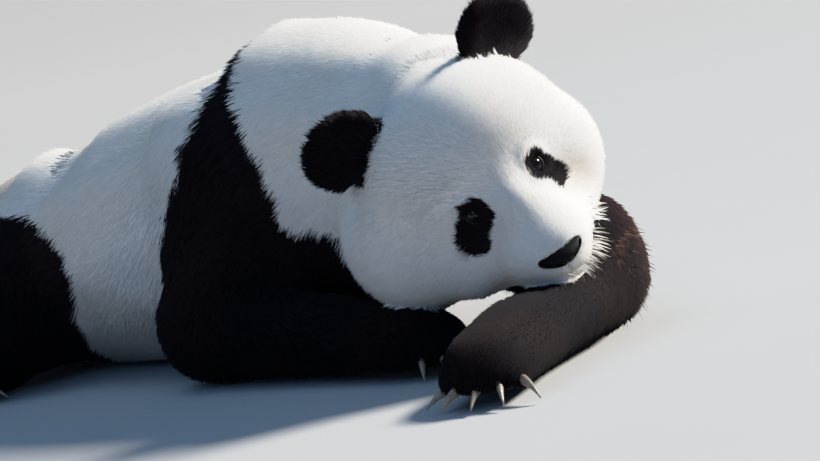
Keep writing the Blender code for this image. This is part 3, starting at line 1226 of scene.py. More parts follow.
@dataclass(frozen=True)
class Finish:
    """A plain surface: colour, roughness and the grain of its bump and shade.

    Attributes:
        name: the material's name.
        colour: its base colour.
        roughness: from 0, polished, to 1, dull.
        grain: how many grains lie along a metre.
        bump: how far the grain stands out, in metres.
        shade: how much the grain changes the colour, from 0 to 1.
        coat: a clear layer on top, from 0 to 1.
        specular: strength of its reflections, from 0 to 1.
    """

    name: str
    colour: Point
    roughness: float
    grain: float
    bump: float
    shade: float
    coat: float = 0.0
    specular: float = 0.5

    def material(self) -> bpy.types.Material:
        """Makes the finish.

        Returns:
            A new material.
        """
        recipe = Recipe(self.name)
        grain = recipe.noise(self.grain, 6)
        dark, pale = (tuple(min(1, part * (1 + shade)) for part in self.colour)
                      for shade in (-self.shade, self.shade))
        recipe.raise_by(grain, self.bump)
        return recipe.done(recipe.ramp(grain, (0.30, dark), (0.70, pale)), {
            "Roughness": self.roughness, "Specular IOR Level": self.specular, "Coat Weight": self.coat})


@dataclass(frozen=True)
class FurFinish:
    """Fur: its colour comes from the piece's own attribute, broken up by fine streaks.

    Attributes:
        name: the material's name.
        roughness: from 0, polished, to 1, dull.
        sheen: the glow of fine hair at a slant, from 0 to 1.
        specular: strength of its reflections, from 0 to 1.
        streak: how many streaks lie along a metre.
        bump: how far the streaks stand out, in metres.
    """

    name: str = "fur"
    roughness: float = 0.75
    sheen: float = 0.015
    specular: float = 0.05
    streak: float = 420.0
    bump: float = 0.0

    def material(self) -> bpy.types.Material:
        """Makes the finish.

        Returns:
            A new material.
        """
        recipe = Recipe(self.name)
        streaks = recipe.noise(self.streak, 3)
        mix = recipe.nodes.new("ShaderNodeMix")
        mix.data_type = "RGBA"
        mix.blend_type = "MULTIPLY"
        mix.inputs["Factor"].default_value = 1
        shades = recipe.ramp(streaks, (0.25, (0.92, 0.915, 0.91)), (0.65, (1, 1, 1)))
        for item, source in ((6, recipe.attribute(COAT_COLOUR, "Color")), (7, shades)):
            recipe.links.new(source, mix.inputs[item])
        if self.bump:
            recipe.raise_by(streaks, self.bump)
        return recipe.done(mix.outputs[2], {
            "Roughness": self.roughness, "Specular IOR Level": self.specular,
            "Sheen Weight": self.sheen, "Sheen Roughness": 0.5})


@dataclass(frozen=True)
class EyeFinish:
    """An eye under its clear cornea: a pupil, a dark brown iris and a darker rim.

    Attributes:
        name: the material's name.
        stops: where the pupil ends, where the iris is palest and where it ends, in degrees.
        uneven: how far the iris's rings waver, where 1 is 90 degrees.
        rim: width of the dark rim round the iris, in the same unit.
    """

    name: str = "eyeball"
    stops: Point = (22.0, 30.0, 56.0)
    uneven: float = 0.05
    rim: float = 0.06

    def material(self) -> bpy.types.Material:
        """Makes the finish.

        Returns:
            A new material.
        """
        recipe = Recipe(self.name)
        angle = recipe.nodes.new("ShaderNodeMath")
        angle.operation = "MULTIPLY_ADD"
        angle.inputs[1].default_value = self.uneven
        for item, source in ((0, recipe.noise(900, 2)), (2, recipe.attribute(FROM_GAZE, "Fac"))):
            recipe.links.new(source, angle.inputs[item])
        pupil, pale, end = (stop / 90 + self.uneven / 2 for stop in self.stops)
        colour = recipe.ramp(
            angle.outputs["Value"], (0.0, (0.002, 0.002, 0.003)), (pupil, (0.003, 0.002, 0.002)),
            (pale, (0.016, 0.008, 0.004)), (end, (0.007, 0.004, 0.003)),
            (min(end + self.rim, 1.0), (0.005, 0.004, 0.004)))
        return recipe.done(colour, {
            "Roughness": 0.25, "Specular IOR Level": 0.05, "Coat Weight": 0.45, "Coat Roughness": 0.02})


# ---- the skin ----
@dataclass(frozen=True)
class Socket:
    """The rimmed hollow that an eye lies in.

    Attributes:
        reach: how far from the eye's centre the face is changed.
        behind: how far behind that centre.
        rim: height of the rim.
        rim_at: how far from the gaze it stands.
        rim_width: how wide it is.
        opening: the part of the eye's radius that the skin is cleared from.
        floor: how far before the eye's centre the cleared skin lies, inside the eye.
        narrow: how much the cleared skin is drawn in towards the gaze.
    """

    reach: float = 0.045
    behind: float = 0.02
    rim: float = 0.0028
    rim_at: float = 0.0165
    rim_width: float = 0.0070
    opening: float = 0.80
    floor: float = 0.003
    narrow: float = 0.9

    def pressed(self, points: np.ndarray, side: Side) -> np.ndarray:
        """Presses one side's socket into the face.

        Args:
            points: the skin's corners, one row each.
            side: the socket's side.

        Returns:
            Their new places.
        """
        centre, gaze = (np.array(vector) for vector in EYES.at(side))
        away, along, aside = EYES.about(side, points)
        near = (away < self.reach) & (along > -self.behind)
        from_gaze = np.linalg.norm(aside, axis=1)
        swell = self.rim * np.exp(-((from_gaze - self.rim_at) / self.rim_width) ** 2)
        raised = points + gaze * (swell * near)[:, None]
        inside = near & (from_gaze < EYES.radius * self.opening)
        return np.where(inside[:, None], centre + gaze * self.floor + aside * self.narrow, raised)


@dataclass(frozen=True)
class Mouth:
    """The line of the mouth, in the head's own axes, given for the left side.

    Attributes:
        line: its places, from under the nose to the corner.
        deep: how deep it is pressed.
        wide: how wide it is.
        dark: how wide its dark lips are.
    """

    line: tuple[Point, ...] = (
        (0.214, 0.0, -0.058), (0.211, 0.0, -0.076), (0.196, 0.024, -0.086), (0.170, 0.044, -0.086),
        (0.140, 0.055, -0.079),
    )
    deep: float = 0.0022
    wide: float = 0.0028
    dark: float = 0.0022

    def away(self, points: np.ndarray) -> np.ndarray:
        """How far each point is from the mouth's line.

        Args:
            points: where it is wanted, one row each.

        Returns:
            One distance for each point.
        """
        local = in_head(points)
        local[:, 1] = np.abs(local[:, 1])
        pairs = zip(self.line, self.line[1:])
        return np.min([line_distance(local, np.array(a), np.array(b)) for a, b in pairs], axis=0)


MOUTH = Mouth()


@dataclass(frozen=True)
class Roots:
    """Where tufts grow, one row each.

    Attributes:
        places: where their roots are.
        outward: the ways out of the skin there.
        spots: their places on the skin's bake map.
        lie: the coat there.
    """

    places: np.ndarray
    outward: np.ndarray
    spots: np.ndarray
    lie: Lie

    def __getitem__(self, rows: slice | np.ndarray) -> "Roots":
        """Some of the roots."""
        lie = Lie(*(getattr(self.lie, item.name)[rows] for item in fields(Lie)))
        return Roots(self.places[rows], self.outward[rows], self.spots[rows], lie)


@dataclass(frozen=True)
class Surface:
    """The skin as arrays.

    Attributes:
        points: where its corners are.
        normals: the ways out of it there.
        lie: the coat there.
        corners: the three corners of each of its triangles.
        layout: those corners' places on the bake map.
    """

    points: np.ndarray
    normals: np.ndarray
    lie: Lie
    corners: np.ndarray
    layout: np.ndarray

    def tree(self, chosen: np.ndarray | slice = slice(None)) -> BVHTree:
        """The surface, or some of its triangles, to look for the nearest point on it."""
        return BVHTree.FromPolygons(self.points.tolist(), self.corners[chosen].tolist())

    def roots(self, rows: np.ndarray, shares: np.ndarray) -> Roots:
        """Roots inside triangles.

        Args:
            rows: each root's triangle.
            shares: how much each of its three corners counts.

        Returns:
            The roots.
        """
        picked, weights = self.corners[rows], shares[:, :, None]
        places, outward = ((values[picked] * weights).sum(1) for values in (self.points, self.normals))
        spots = (self.layout[rows] * weights).sum(1)
        return Roots(places, unit(outward), spots, self.lie.picked(picked, shares))


@dataclass
class Skin:
    """One skin over the whole body, as deep in the coat as the fur is thick.

    Attributes:
        blend_voxel: the grain in which the balls melt together.
        melt: rounds of smoothing that melt them.
        voxel: the skin's own grain.
        calm: rounds of smoothing of the skin.
        rest: height of the flesh over the floor.
        ear_fur: how much the flesh of an ear is smaller than the ear, in each half size.
        cup: depth of an ear's cup.
        nose_bed: depth of the hollow that the nose pad lies in.
        bed_edge: where its floor ends and where it ends, as shares of the pad.
        lip_edge: where the dark skin round the pad ends, in the same way.
        shade: painted shade of the skin seen between the tufts: its brightness under short fur, and how much
            less it is under long fur.
        short: the depths of short and of long fur.
        face: how far forward the face's mesh is made finer, once and then once more.
        face_width: half the width of that mesh.
        face_height: its lowest and highest places.
        face_reach: its farthest place from the head's centre.
        fold: a foreleg's skin that is this deep in the body's coat grows none.
        coat: says what the coat is like anywhere.
        piece: the skin's piece, once it is built.
        lie: the coat at each of that piece's corners.
    """

    blend_voxel: float = 0.008
    melt: int = 34
    voxel: float = 0.0074
    calm: int = 5
    rest: float = 0.006
    ear_fur: Point = (0.010, 0.008, 0.007)
    cup: float = 0.024
    nose_bed: float = 0.009
    bed_edge: tuple[float, float] = (0.80, 0.98)
    lip_edge: tuple[float, float] = (0.96, 1.04)
    shade: tuple[float, float] = (0.95, 0.25)
    short: tuple[float, float] = (0.004, 0.012)
    face: tuple[float, float] = (0.045, 0.065)
    face_width: float = 0.105
    face_height: tuple[float, float] = (-0.15, 0.06)
    face_reach: float = 0.26
    fold: float = 0.014
    coat: CoatMap = field(default_factory=CoatMap)
    piece: bpy.types.Object | None = None
    lie: Lie | None = None

    def outline(self, bm: bmesh.types.BMesh, name: str) -> bpy.types.Object:
        """Melts balls into one form, out to the tips of the coat."""
        return remeshed(object_from(bm, name), self.blend_voxel, self.melt)

    def body(self) -> bmesh.types.BMesh:
        """Strings the balls of the body, without its forelegs and ears.

        Returns:
            The balls.
        """
        bm = bmesh.new()
        for limb in (SPINE, TAIL):
            limb.add(bm)
        for limb in (HAUNCH, SHANK, HIND_FOOT, SHOULDER_BLADE):
            limb.add(bm)
            limb.mirrored().add(bm)
        HIND_FOOT.add_toes(bm)
        HIND_FOOT.mirrored().add_toes(bm)
        for centre, radii in HEAD_BALLS:
            add_ball(bm, Vector(centre), Vector(radii), HEAD)
        return bm

    def foreleg(self, side: Side) -> bmesh.types.BMesh:
        """Strings the balls of one foreleg.

        Args:
            side: the foreleg's side.

        Returns:
            The balls.
        """
        bm = bmesh.new()
        for limb in FORELEGS[side].sections:
            limb.add(bm)
        FORELEGS[side].paw.add_toes(bm)
        return bm

    def ear(self, side: Side) -> bpy.types.Object:
        """A thick cupped ear, in by the depth of its fur.

        Args:
            side: the ear's side.

        Returns:
            The ear's flesh.
        """
        half = Vector(EARS.size) - Vector(self.ear_fur)
        bm = bmesh.new()
        bmesh.ops.create_icosphere(bm, subdivisions=4, radius=1)
        for vert in bm.verts:
            across = min(1.0, vert.co.y ** 2 + vert.co.z ** 2)
            cup = self.cup * (1 - across) ** 1.5 if vert.co.x > 0 else 0.0
            vert.co = Vector((vert.co.x * half.x - cup, vert.co.y * half.y, vert.co.z * half.z))
        bm.transform(EARS.frame(side))
        bmesh.ops.recalc_face_normals(bm, faces=bm.faces)
        return object_from(bm, f"ear_flesh_{side.label}")

    def sunk(self, form: bpy.types.Object, is_foreleg: bool = False) -> bpy.types.Object:
        """Draws a form in by the depth of the coat there.

        Args:
            form: the form, out to the coat's tips.
            is_foreleg: whether it is a foreleg.

        Returns:
            The same form.
        """
        points, normals = points_of(form.data), normals_of(form.data)
        lie = self.coat.at(points, normals, np.full(len(points), is_foreleg))
        points = points - normals * lie.depth[:, None]
        points[:, 2] = np.maximum(points[:, 2], self.rest)
        placed(form.data, points)
        return form

    def joined(self, forms: list[bpy.types.Object]) -> bpy.types.Object:
        """Covers several forms with one even closed surface.

        Args:
            forms: the forms, which are then removed.

        Returns:
            The skin.
        """
        bm = bmesh.new()
        for form in forms:
            bm.from_mesh(form.data)
            bpy.data.objects.remove(form)
        return remeshed(object_from(bm, "skin"), self.voxel, self.calm)

    def refine(self) -> None:
        """Makes the face's mesh finer, for its lids, nose and mouth."""
        low, high = self.face_height
        for ahead in self.face:
            bm = bmesh.new()
            bm.from_mesh(self.piece.data)
            local = in_head(np.array([vert.co for vert in bm.verts]))
            chosen = (local[:, 0] > ahead) & (np.abs(local[:, 1]) < self.face_width) & (local[:, 2] < high)
            chosen &= (local[:, 2] > low) & (np.linalg.norm(local, axis=1) < self.face_reach)
            bm.verts.ensure_lookup_table()
            marked = {vert.index for vert, inside in zip(bm.verts, chosen) if inside}
            edges = [edge for edge in bm.edges if all(vert.index in marked for vert in edge.verts)]
            bmesh.ops.subdivide_edges(bm, edges=edges, cuts=1, use_grid_fill=True, smooth=0)
            bmesh.ops.triangulate(bm, faces=[face for face in bm.faces if len(face.verts) > 4])
            fine = [vert for vert in bm.verts if vert.index < 0 or vert.index in marked]
            bmesh.ops.smooth_vert(bm, verts=fine, factor=0.5,
                                  use_axis_x=True, use_axis_y=True, use_axis_z=True)
            bm.to_mesh(self.piece.data)
            bm.free()

    def sculpt(self) -> None:
        """Presses the eyes' sockets, the mouth and the nose pad's bed into the face."""
        mesh = self.piece.data
        points, normals = points_of(mesh), normals_of(mesh)
        for side in Side:
            points = Socket().pressed(points, side)
        points -= normals * (MOUTH.deep * np.exp(-(MOUTH.away(points) / MOUTH.wide) ** 2))[:, None]
        bed = 1 - eased(NOSE.away(points), *self.bed_edge)
        points -= normals * (self.nose_bed * bed)[:, None]
        placed(mesh, points)

    def colour(self, points: np.ndarray) -> None:
        """Writes the skin's colours, darker than the fur that covers them, as painted shade between the
        tufts.

        Args:
            points: the skin's corners, one row each.
        """
        # Painted shade: the skin between the tufts is darker the deeper the fur.
        shade = self.shade[0] - self.shade[1] * eased(self.lie.depth, *self.short)
        colours = coat_colours(points, self.lie.black) * shade[:, None]
        lips = np.exp(-(MOUTH.away(points) / MOUTH.dark) ** 2)[:, None]
        lips = np.maximum(lips, 1 - eased(NOSE.away(points), *self.lip_edge)[:, None])
        coloured(self.piece.data, mixed(colours, LIP_BLACK, lips))

    def unwrap(self) -> None:
        """Lays the skin out flat as its bake map."""
        bpy.context.view_layer.objects.active = self.piece
        self.piece.select_set(True)
        self.piece.data.uv_layers.new(name=BAKE_MAP)
        bpy.ops.object.mode_set(mode="EDIT")
        bpy.ops.mesh.select_all(action="SELECT")
        bpy.ops.uv.smart_project(angle_limit=math.radians(70), island_margin=0.001)
        bpy.ops.object.mode_set(mode="OBJECT")

    def build(self) -> bpy.types.Object:
        """Makes the skin, with its map and colours, and lets it stand for the flesh.

        Returns:
            The skin's piece.
        """
        body = self.outline(self.body(), "body")
        coat_outline = surface_of(body)
        forms = [self.sunk(body)]
        for side in Side:
            forms.append(self.sunk(self.outline(self.foreleg(side), "foreleg"), is_foreleg=True))
        surfaces = [surface_of(form) for form in forms]
        forms += [self.ear(side) for side in Side]
        self.piece = self.joined(forms)
        self.refine()
        self.sculpt()
        mesh = self.piece.data
        mesh.shade_smooth()
        points = points_of(mesh)
        away = np.array([[surface.find_nearest(point)[3] for surface in surfaces] for point in points])
        on_foreleg = away[:, 1:].min(1) < away[:, 0]
        self.lie = self.coat.at(points, normals_of(mesh), on_foreleg)
        for row in np.flatnonzero(on_foreleg):
            near, outward, _, gap = coat_outline.find_nearest(points[row])
            if gap > self.fold and (Vector(points[row]) - near).dot(outward) < 0:
                self.lie.crowd[row] = 0
        self.colour(points)
        self.unwrap()
        mesh.materials.clear()
        mesh.materials.append(FurFinish("skin_under_fur", sheen=0.02, bump=0.0006).material())
        flesh = [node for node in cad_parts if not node.startswith(("eye_", "nose_", "claw_"))]
        return finished(self.piece, Slot.WHITE_COAT, *flesh)

    def surface(self) -> Surface:
        """The finished skin as arrays."""
        mesh = self.piece.data
        return Surface(points_of(mesh), normals_of(mesh), self.lie, *triangles_of(mesh))


# ---- the coat ----
PATCH = 0.003                           # size of a tuft's patch on the bake map
FLOOR_GAP = 0.0012                      # the lowest that a tuft reaches
WHITE_SHADED_RUN = (0.90, 0.98, 0.98, 1.03)    # painted shade: brightness of a tuft's root, sides and tip, darkest at the root deep in the coat
BLACK_SHADED_RUN = (0.7, 1.0, 1.0, 1.08)


def tuft_piece(name: str, corners: np.ndarray, spots: np.ndarray) -> bpy.types.Object:
    """Many thin tufts as one piece, each with its own patch of the bake map.

    Args:
        name: the piece's name.
        corners: the root, two sides and tip of each tuft, which are kept over the floor.
        spots: the root's place on the skin's bake map.

    Returns:
        The piece, which has no colours and no material yet.
    """
    corners[:, :, 2] = np.maximum(corners[:, :, 2], FLOOR_GAP)
    faces = np.array(((0, 2, 1), (3, 1, 2), (0, 1, 3), (0, 3, 2)))
    faces = (np.arange(len(corners))[:, None, None] * 4 + faces).ravel()
    mesh = bpy.data.meshes.new(name)
    mesh.vertices.add(corners.size // 3)
    mesh.vertices.foreach_set("co", corners.astype(np.float32).ravel())
    mesh.loops.add(faces.size)
    mesh.loops.foreach_set("vertex_index", faces.astype(np.int32))
    mesh.polygons.add(faces.size // 3)
    mesh.polygons.foreach_set("loop_start", np.arange(0, faces.size, 3, dtype=np.int32))
    mesh.update(calc_edges=True)
    mesh.shade_smooth()
    shape = np.array(((0, -0.5), (-0.5, 0), (0.5, 0), (0, 0.5))) * PATCH
    spread = (spots[:, None, :] + shape).reshape(-1, 2)
    layer = mesh.uv_layers.new(name=BAKE_MAP)
    layer.data.foreach_set("uv", spread[faces].clip(0, 1).astype(np.float32).ravel())
    piece = linked(name, mesh)
    piece.visible_shadow = False
    return piece


@dataclass
class Coat:
    """Tufts of fur over the skin.

    Attributes:
        skin: the skin that they grow from.
        most: the most tufts in one piece.
        soft: how far a tuft's shading follows the skin under it, from 0 to 1.
        locks: how many tufts share a lock.
        pull: how far a tuft's tip leans to its lock's.
        calm: how many times the directions that the tufts stand in are evened out.
        belly: where the widest place of a tuft lies, as a share of its length.
        arch: how far that place stands up, as a share of the coat's depth.
        rooted: how deep its root is in the skin.
        lengths: the least and the most that a tuft's length varies, as shares.
        widths: the same for its width.
        depths: the least share of the coat's depth that it reaches, and how much more it may.
        stray: how far it strays aside by chance.
        drift: how far it does so together with its neighbours.
        wave: how far apart those neighbourhoods are.
        fold: how high its tip stands over another fold, as a share of the coat's depth.
        behind: how far behind the head's centre the ways out start to be evened out, and are.
        catch: how far apart a tuft's tip and its lock's may be, as a share of its length.
        bare_nose: where the fur starts round the nose pad, and is full, as shares of the pad.
        bare_eye: how far from the gaze the fur starts, and is full.
        eye_reach: how far from the eye's centre that holds, and how far behind it.
        bare_lips: the same from the line of the mouth.
        lips: how much of the fur the lips have.
        under: skin lower than this that faces the floor has none.
        facing: skin whose way out points down at least this far faces the floor.
        unsure: how far chance moves a tuft between white and black where they meet.
        vary: how much the brightness of white tufts varies, and how much more that of black ones.
        brightest: no tuft is brighter.
        seed: picks the random numbers.
    """

    skin: Skin
    most: int = 49000
    soft: float = 0.86
    locks: int = 14
    pull: float = 0.14
    calm: int = 12
    belly: float = 0.40
    arch: float = 0.30
    rooted: float = 0.001
    lengths: tuple[float, float] = (0.75, 1.25)
    widths: tuple[float, float] = (0.7, 1.3)
    depths: tuple[float, float] = (0.78, 0.36)
    stray: float = 0.13
    drift: float = 0.08
    wave: float = 0.11
    fold: float = 0.75
    behind: tuple[float, float] = (-0.02, 0.08)
    catch: float = 1.2
    bare_nose: tuple[float, float] = (0.97, 1.03)
    bare_eye: tuple[float, float] = (0.0090, 0.0105)
    eye_reach: tuple[float, float] = (0.04, 0.01)
    bare_lips: tuple[float, float] = (0.002, 0.005)
    lips: float = 0.25
    under: float = 0.022
    facing: float = 0.6
    unsure: float = 0.20
    vary: tuple[float, float] = (0.05, 0.35)
    brightest: float = 0.95
    seed: int = 7

    def build(self) -> list[bpy.types.Object]:
        """Makes one piece of coat for each region, or several for a large one.

        Returns:
            The pieces.
        """
        skin = self.skin.surface()
        skin = replace(skin, normals=self.calmed(skin))
        crowd = skin.lie.crowd * self.bare(skin)
        tree = skin.tree()
        finish = FurFinish().material()
        made = []
        for region in Region:
            roots = self.roots(skin, crowd, region)
            dark = region in (Region.EARS, Region.FORELEGS, Region.HIND_LEGS, Region.SHOULDERS)
            count = len(roots.places)
            parts = max(1, math.ceil(count / self.most))
            for part in range(parts):
                name = f"coat_{region.value}" + (f"_{part + 1}" if parts > 1 else "")
                share = slice(count * part // parts, count * (part + 1) // parts)
                piece = self.tufts(name, roots[share], region.number * 10 + part, tree)
                piece.data.materials.append(finish)
                made.append(finished(piece, Slot.BLACK_COAT if dark else Slot.WHITE_COAT))
        return made

    def calmed(self, skin: Surface) -> np.ndarray:
        """Evens out the ways out of the skin over the folds behind the face.

        Args:
            skin: the skin.

        Returns:
            The new directions at its corners.
        """
        starts, ends = skin.corners.ravel(), np.roll(skin.corners, 1, axis=1).ravel()
        even = skin.normals
        for _ in range(self.calm):
            around = [np.bincount(starts, even[ends, axis], len(even)) for axis in range(3)]
            even = unit(even + np.stack(around, axis=1))
        behind = eased(-in_head(skin.points)[:, 0], *self.behind)
        return unit(mixed(skin.normals, even, behind[:, None]))

    def bare(self, skin: Surface) -> np.ndarray:
        """How much of the fur grows: none on the nose, in the eyes or under the belly.

        Args:
            skin: the skin.

        Returns:
            A share from 0 to 1 for each of its corners.
        """
        full = eased(NOSE.away(skin.points), *self.bare_nose)
        for side in Side:
            away, along, aside = EYES.about(side, skin.points)
            round_eye = eased(np.linalg.norm(aside, axis=1), *self.bare_eye)
            reach, behind = self.eye_reach
            full *= np.where((along > -behind) & (away < reach), round_eye, 1)
        full *= mixed(self.lips, 1.0, eased(MOUTH.away(skin.points), *self.bare_lips))
        down = (skin.normals[:, 2] < -self.facing) & (skin.points[:, 2] < self.under)
        return np.where(down, 0.0, full)

    def roots(self, skin: Surface, crowd: np.ndarray, region: Region) -> Roots:
        """Picks the places where a region's tufts grow.

        Args:
            skin: the skin.
            crowd: how many tufts grow on a square centimetre at each of its corners.
            region: the region.

        Returns:
            The tufts' roots.
        """
        rng = np.random.default_rng(self.seed + region.number)
        chosen = np.flatnonzero(skin.lie.region[skin.corners[:, 0]] == region.number)
        corners = skin.corners[chosen]
        first, second, third = (skin.points[corners[:, place]] for place in range(3))
        area = np.linalg.norm(np.cross(second - first, third - first), axis=1) / 2
        growth = crowd[corners].mean(1) * area * SQUARE_CENTIMETRES
        total = growth.sum()
        count = int(total)
        steps = (np.arange(count) + rng.random(count)) * total / count
        rows = chosen[np.minimum(np.searchsorted(np.cumsum(growth), steps), len(corners) - 1)]
        shares = rng.random((count, 2))
        over = shares.sum(1) > 1
        shares[over] = 1 - shares[over]
        return skin.roots(rows, np.column_stack([1 - shares.sum(1), shares]))

    def tufts(self, name: str, roots: Roots, number: int, tree: BVHTree) -> bpy.types.Object:
        """Builds tufts as one piece.

        Args:
            name: the piece's name.
            roots: where they grow.
            number: picks the random numbers.
            tree: the skin's surface.

        Returns:
            The piece, without a material.
        """
        rng = np.random.default_rng(self.seed * 100 + number)
        base, normal, lie = roots.places, roots.outward, roots.lie
        count = len(base)
        length = (lie.length * rng.uniform(*self.lengths, count))[:, None]
        width = (lie.width * rng.uniform(*self.widths, count))[:, None]
        depth = (lie.depth * (self.depths[0] + self.depths[1] * rng.random(count) ** 2))[:, None]
        lean = rng.normal(0, self.stray, (count, 1)) + ripple(base, self.wave, 31)[:, None] * self.drift
        flow = unit(lie.flow + np.cross(lie.flow, normal) * lean)
        tip = base + flow * length + normal * depth
        tip = self.lifted(self.locked(base, tip, length), depth, tree)
        middle = base + (tip - base) * self.belly + normal * depth * self.arch
        side = unit(np.cross(unit(tip - base), normal)) * width / 2
        corners = np.stack([base - normal * self.rooted, middle - side, middle + side, tip], axis=1)
        piece = tuft_piece(name, corners, roots.spots)
        self.paint(piece.data, base, lie.black, rng)
        own = normals_of(piece.data).reshape(-1, 4, 3)
        shading = unit(mixed(own, normal[:, None, :], self.soft))
        piece.data.normals_split_custom_set_from_vertices(shading.reshape(-1, 3).tolist())
        return piece

    def locked(self, base: np.ndarray, tip: np.ndarray, length: np.ndarray) -> np.ndarray:
        """Draws each tip towards the tip of the lock that it belongs to.

        Args:
            base: the tufts' roots.
            tip: their tips.
            length: their lengths.

        Returns:
            The new tips.
        """
        leaders = np.arange(0, len(base), self.locks)
        tree = KDTree(len(leaders))
        for place, row in enumerate(leaders):
            tree.insert(base[row], place)
        tree.balance()
        nearest = leaders[[tree.find(point)[1] for point in base]]
        gap = tip[nearest] - tip
        far = np.linalg.norm(gap, axis=1, keepdims=True)
        return tip + gap * self.pull * np.clip(self.catch - far / np.maximum(length, 1e-6), 0, 1)

    def lifted(self, tip: np.ndarray, depth: np.ndarray, tree: BVHTree) -> np.ndarray:
        """Raises the tips where the far side of a fold would cover them.

        Args:
            tip: the tips.
            depth: the coat's depth there.
            tree: the skin's surface.

        Returns:
            The new tips.
        """
        height, outward = heights_over(tree, tip)
        return tip + outward * np.maximum(depth * self.fold - height[:, None], 0)

    def paint(self, mesh: bpy.types.Mesh, base: np.ndarray, black: np.ndarray,
              rng: np.random.Generator) -> None:
        """Writes each tuft's colours: dark at the root as painted shade deep in the coat, pale at the tip.

        Args:
            mesh: the tufts.
            base: their roots.
            black: how black the coat is there.
            rng: gives the random numbers.
        """
        count = len(base)
        chosen = np.clip((black - 0.5) * 2 + 0.5 + rng.normal(0, self.unsure, count), 0, 1)
        chosen = np.where(black < 0.02, 0, np.where(black > 0.98, 1, (chosen + np.round(chosen)) / 2))
        vary = rng.uniform(-1, 1, (count, 1)) * (self.vary[0] + self.vary[1] * chosen[:, None])
        colour = coat_colours(base, chosen) * (1 + vary)
        # Painted shade: each tuft darkens towards its root.
        shaded_run = mixed(WHITE_SHADED_RUN, BLACK_SHADED_RUN, chosen[:, None])
        coloured(mesh, np.clip(colour[:, None, :] * shaded_run[:, :, None], 0, self.brightest))


@dataclass
class Fringe:
    """Long single hairs that stand out along the chin, the lips and the edges of the limbs.

    Attributes:
        skin: the skin that they grow from.
        chin: how many grow on the chin and lips.
        limbs: how many grow on the forelegs.
        length: of the longest.
        width: of one hair.
        fine: width of a chin's hair, as a share of that.
        clear: how far from the skin the tip of a chin's hair has to be.
        apart: how far from the forelegs its root has to be.
        droop: how far its tip hangs, as a share of its length.
        shortest: the least share of that length that a hair has.
        stray: how far its way strays by chance.
        tones: the least and the most brightness of the forelegs' hairs.
        head_gap: how far from the head's centre the forelegs' hairs start.
        pale: colour of the chin's hairs.
        tan: usual colour of the forelegs' hairs, a reddish brown that is painted rim light at the sunlit
            edge.
        seed: picks the random numbers.
    """

    skin: Skin
    chin: int = 190
    limbs: int = 1500
    length: float = 0.032
    width: float = 0.0005
    fine: float = 0.7
    clear: float = 0.016
    apart: float = 0.009
    droop: float = 0.12
    shortest: float = 0.45
    stray: float = 0.16
    tones: tuple[float, float] = (0.4, 2.2)
    head_gap: float = 0.21
    pale: Point = (0.86, 0.84, 0.80)
    tan: Point = (0.050, 0.028, 0.022)
    seed: int = 91

    def places(self, skin: Surface, foreleg: np.ndarray) -> tuple[np.ndarray, np.ndarray]:
        """Finds the corners of the skin that the hairs grow near.

        Args:
            skin: the skin.
            foreleg: whether each of its corners is on a foreleg.

        Returns:
            Whether each lies on the chin and lips, and whether at the forelegs' edges.
        """
        local = in_head(skin.points)
        ahead, left, up = local.T
        on_chin = (ahead > 0.165) & (np.abs(left - 0.008) < 0.045) & (np.abs(up + 0.082) < 0.012)
        on_chin |= (ahead > 0.11) & (left > 0.060) & (np.abs(up + 0.078) < 0.022)
        x, y, z = skin.points.T
        on_limb = foreleg & (z > 0.02) & (skin.lie.crowd > 0) & (x > 0.02) & (y < -0.50)
        return on_chin, on_limb & (np.linalg.norm(local, axis=1) > self.head_gap)

    def ways(self, roots: Roots, chin: np.ndarray) -> np.ndarray:
        """The ways that the hairs point, before chance turns them.

        Args:
            roots: the hairs' roots.
            chin: whether each is one of the chin's.

        Returns:
            One direction for each hair.
        """
        ahead, left, up = HEAD_AXES.T
        lip = eased(in_head(roots.places)[:, 1], 0.030, 0.055)[:, None]
        off_chin = roots.outward * 0.25 + ahead * 0.8 + left * 0.25
        off_lip = roots.outward * 0.3 + left * 0.55 - up * 0.35 + ahead * 0.2
        return np.where(chin, mixed(off_chin, off_lip, lip), roots.outward * 0.75 + roots.lie.flow * 0.8)

    def build(self) -> bpy.types.Object:
        """Makes all the hairs as one piece.

        Returns:
            The piece.
        """
        skin = self.skin.surface()
        rng = np.random.default_rng(self.seed)
        foreleg = skin.lie.region == Region.FORELEGS.number
        rows = np.concatenate([rng.choice(np.flatnonzero(place[skin.corners].all(1)), count) for place, count
                               in zip(self.places(skin, foreleg), (self.chin, self.limbs))])
        roots = skin.roots(rows, rng.dirichlet((1, 1, 1), len(rows)))
        count = len(rows)
        chin = np.arange(count)[:, None] < self.chin
        length = self.length * rng.uniform(self.shortest, 1.0, (count, 1)) * np.where(chin, 1.0, 0.95)
        way = unit(self.ways(roots, chin) + rng.normal(0, self.stray, (count, 3)))
        tip = roots.places + way * length + np.array((0.0, 0.0, -1.0)) * length * self.droop
        clear = heights_over(skin.tree(), tip)[0] > self.clear
        clear &= heights_over(skin.tree(foreleg[skin.corners].all(1)), roots.places)[0] > self.apart
        clear |= ~chin[:, 0]
        roots, length, way, tip, chin = (values[clear] for values in (roots, length, way, tip, chin))
        base, normal = roots.places, roots.outward
        count = len(base)
        middle = base + way * length * 0.5
        side = unit(np.cross(way, normal + rng.normal(0, 0.2, (count, 3))))
        side *= self.width / 2 * np.where(chin, self.fine, 1.0)
        corners = np.stack([base, middle - side, middle + side, tip], axis=1)
        piece = tuft_piece("coat_fringe", corners, roots.spots)
        piece.data.normals_split_custom_set_from_vertices(np.repeat(normal, 4, axis=0).tolist())
        # Painted rim light: the forelegs' hairs are reddish brown, like black fur lit from behind at its
        # edge.
        colour = np.where(chin, self.pale, self.tan * rng.uniform(*self.tones, (count, 1)))
        coloured(piece.data, np.repeat(colour, 4, axis=0))
        piece.data.materials.append(FurFinish("long_hair").material())
        return finished(piece, Slot.WHITE_COAT)


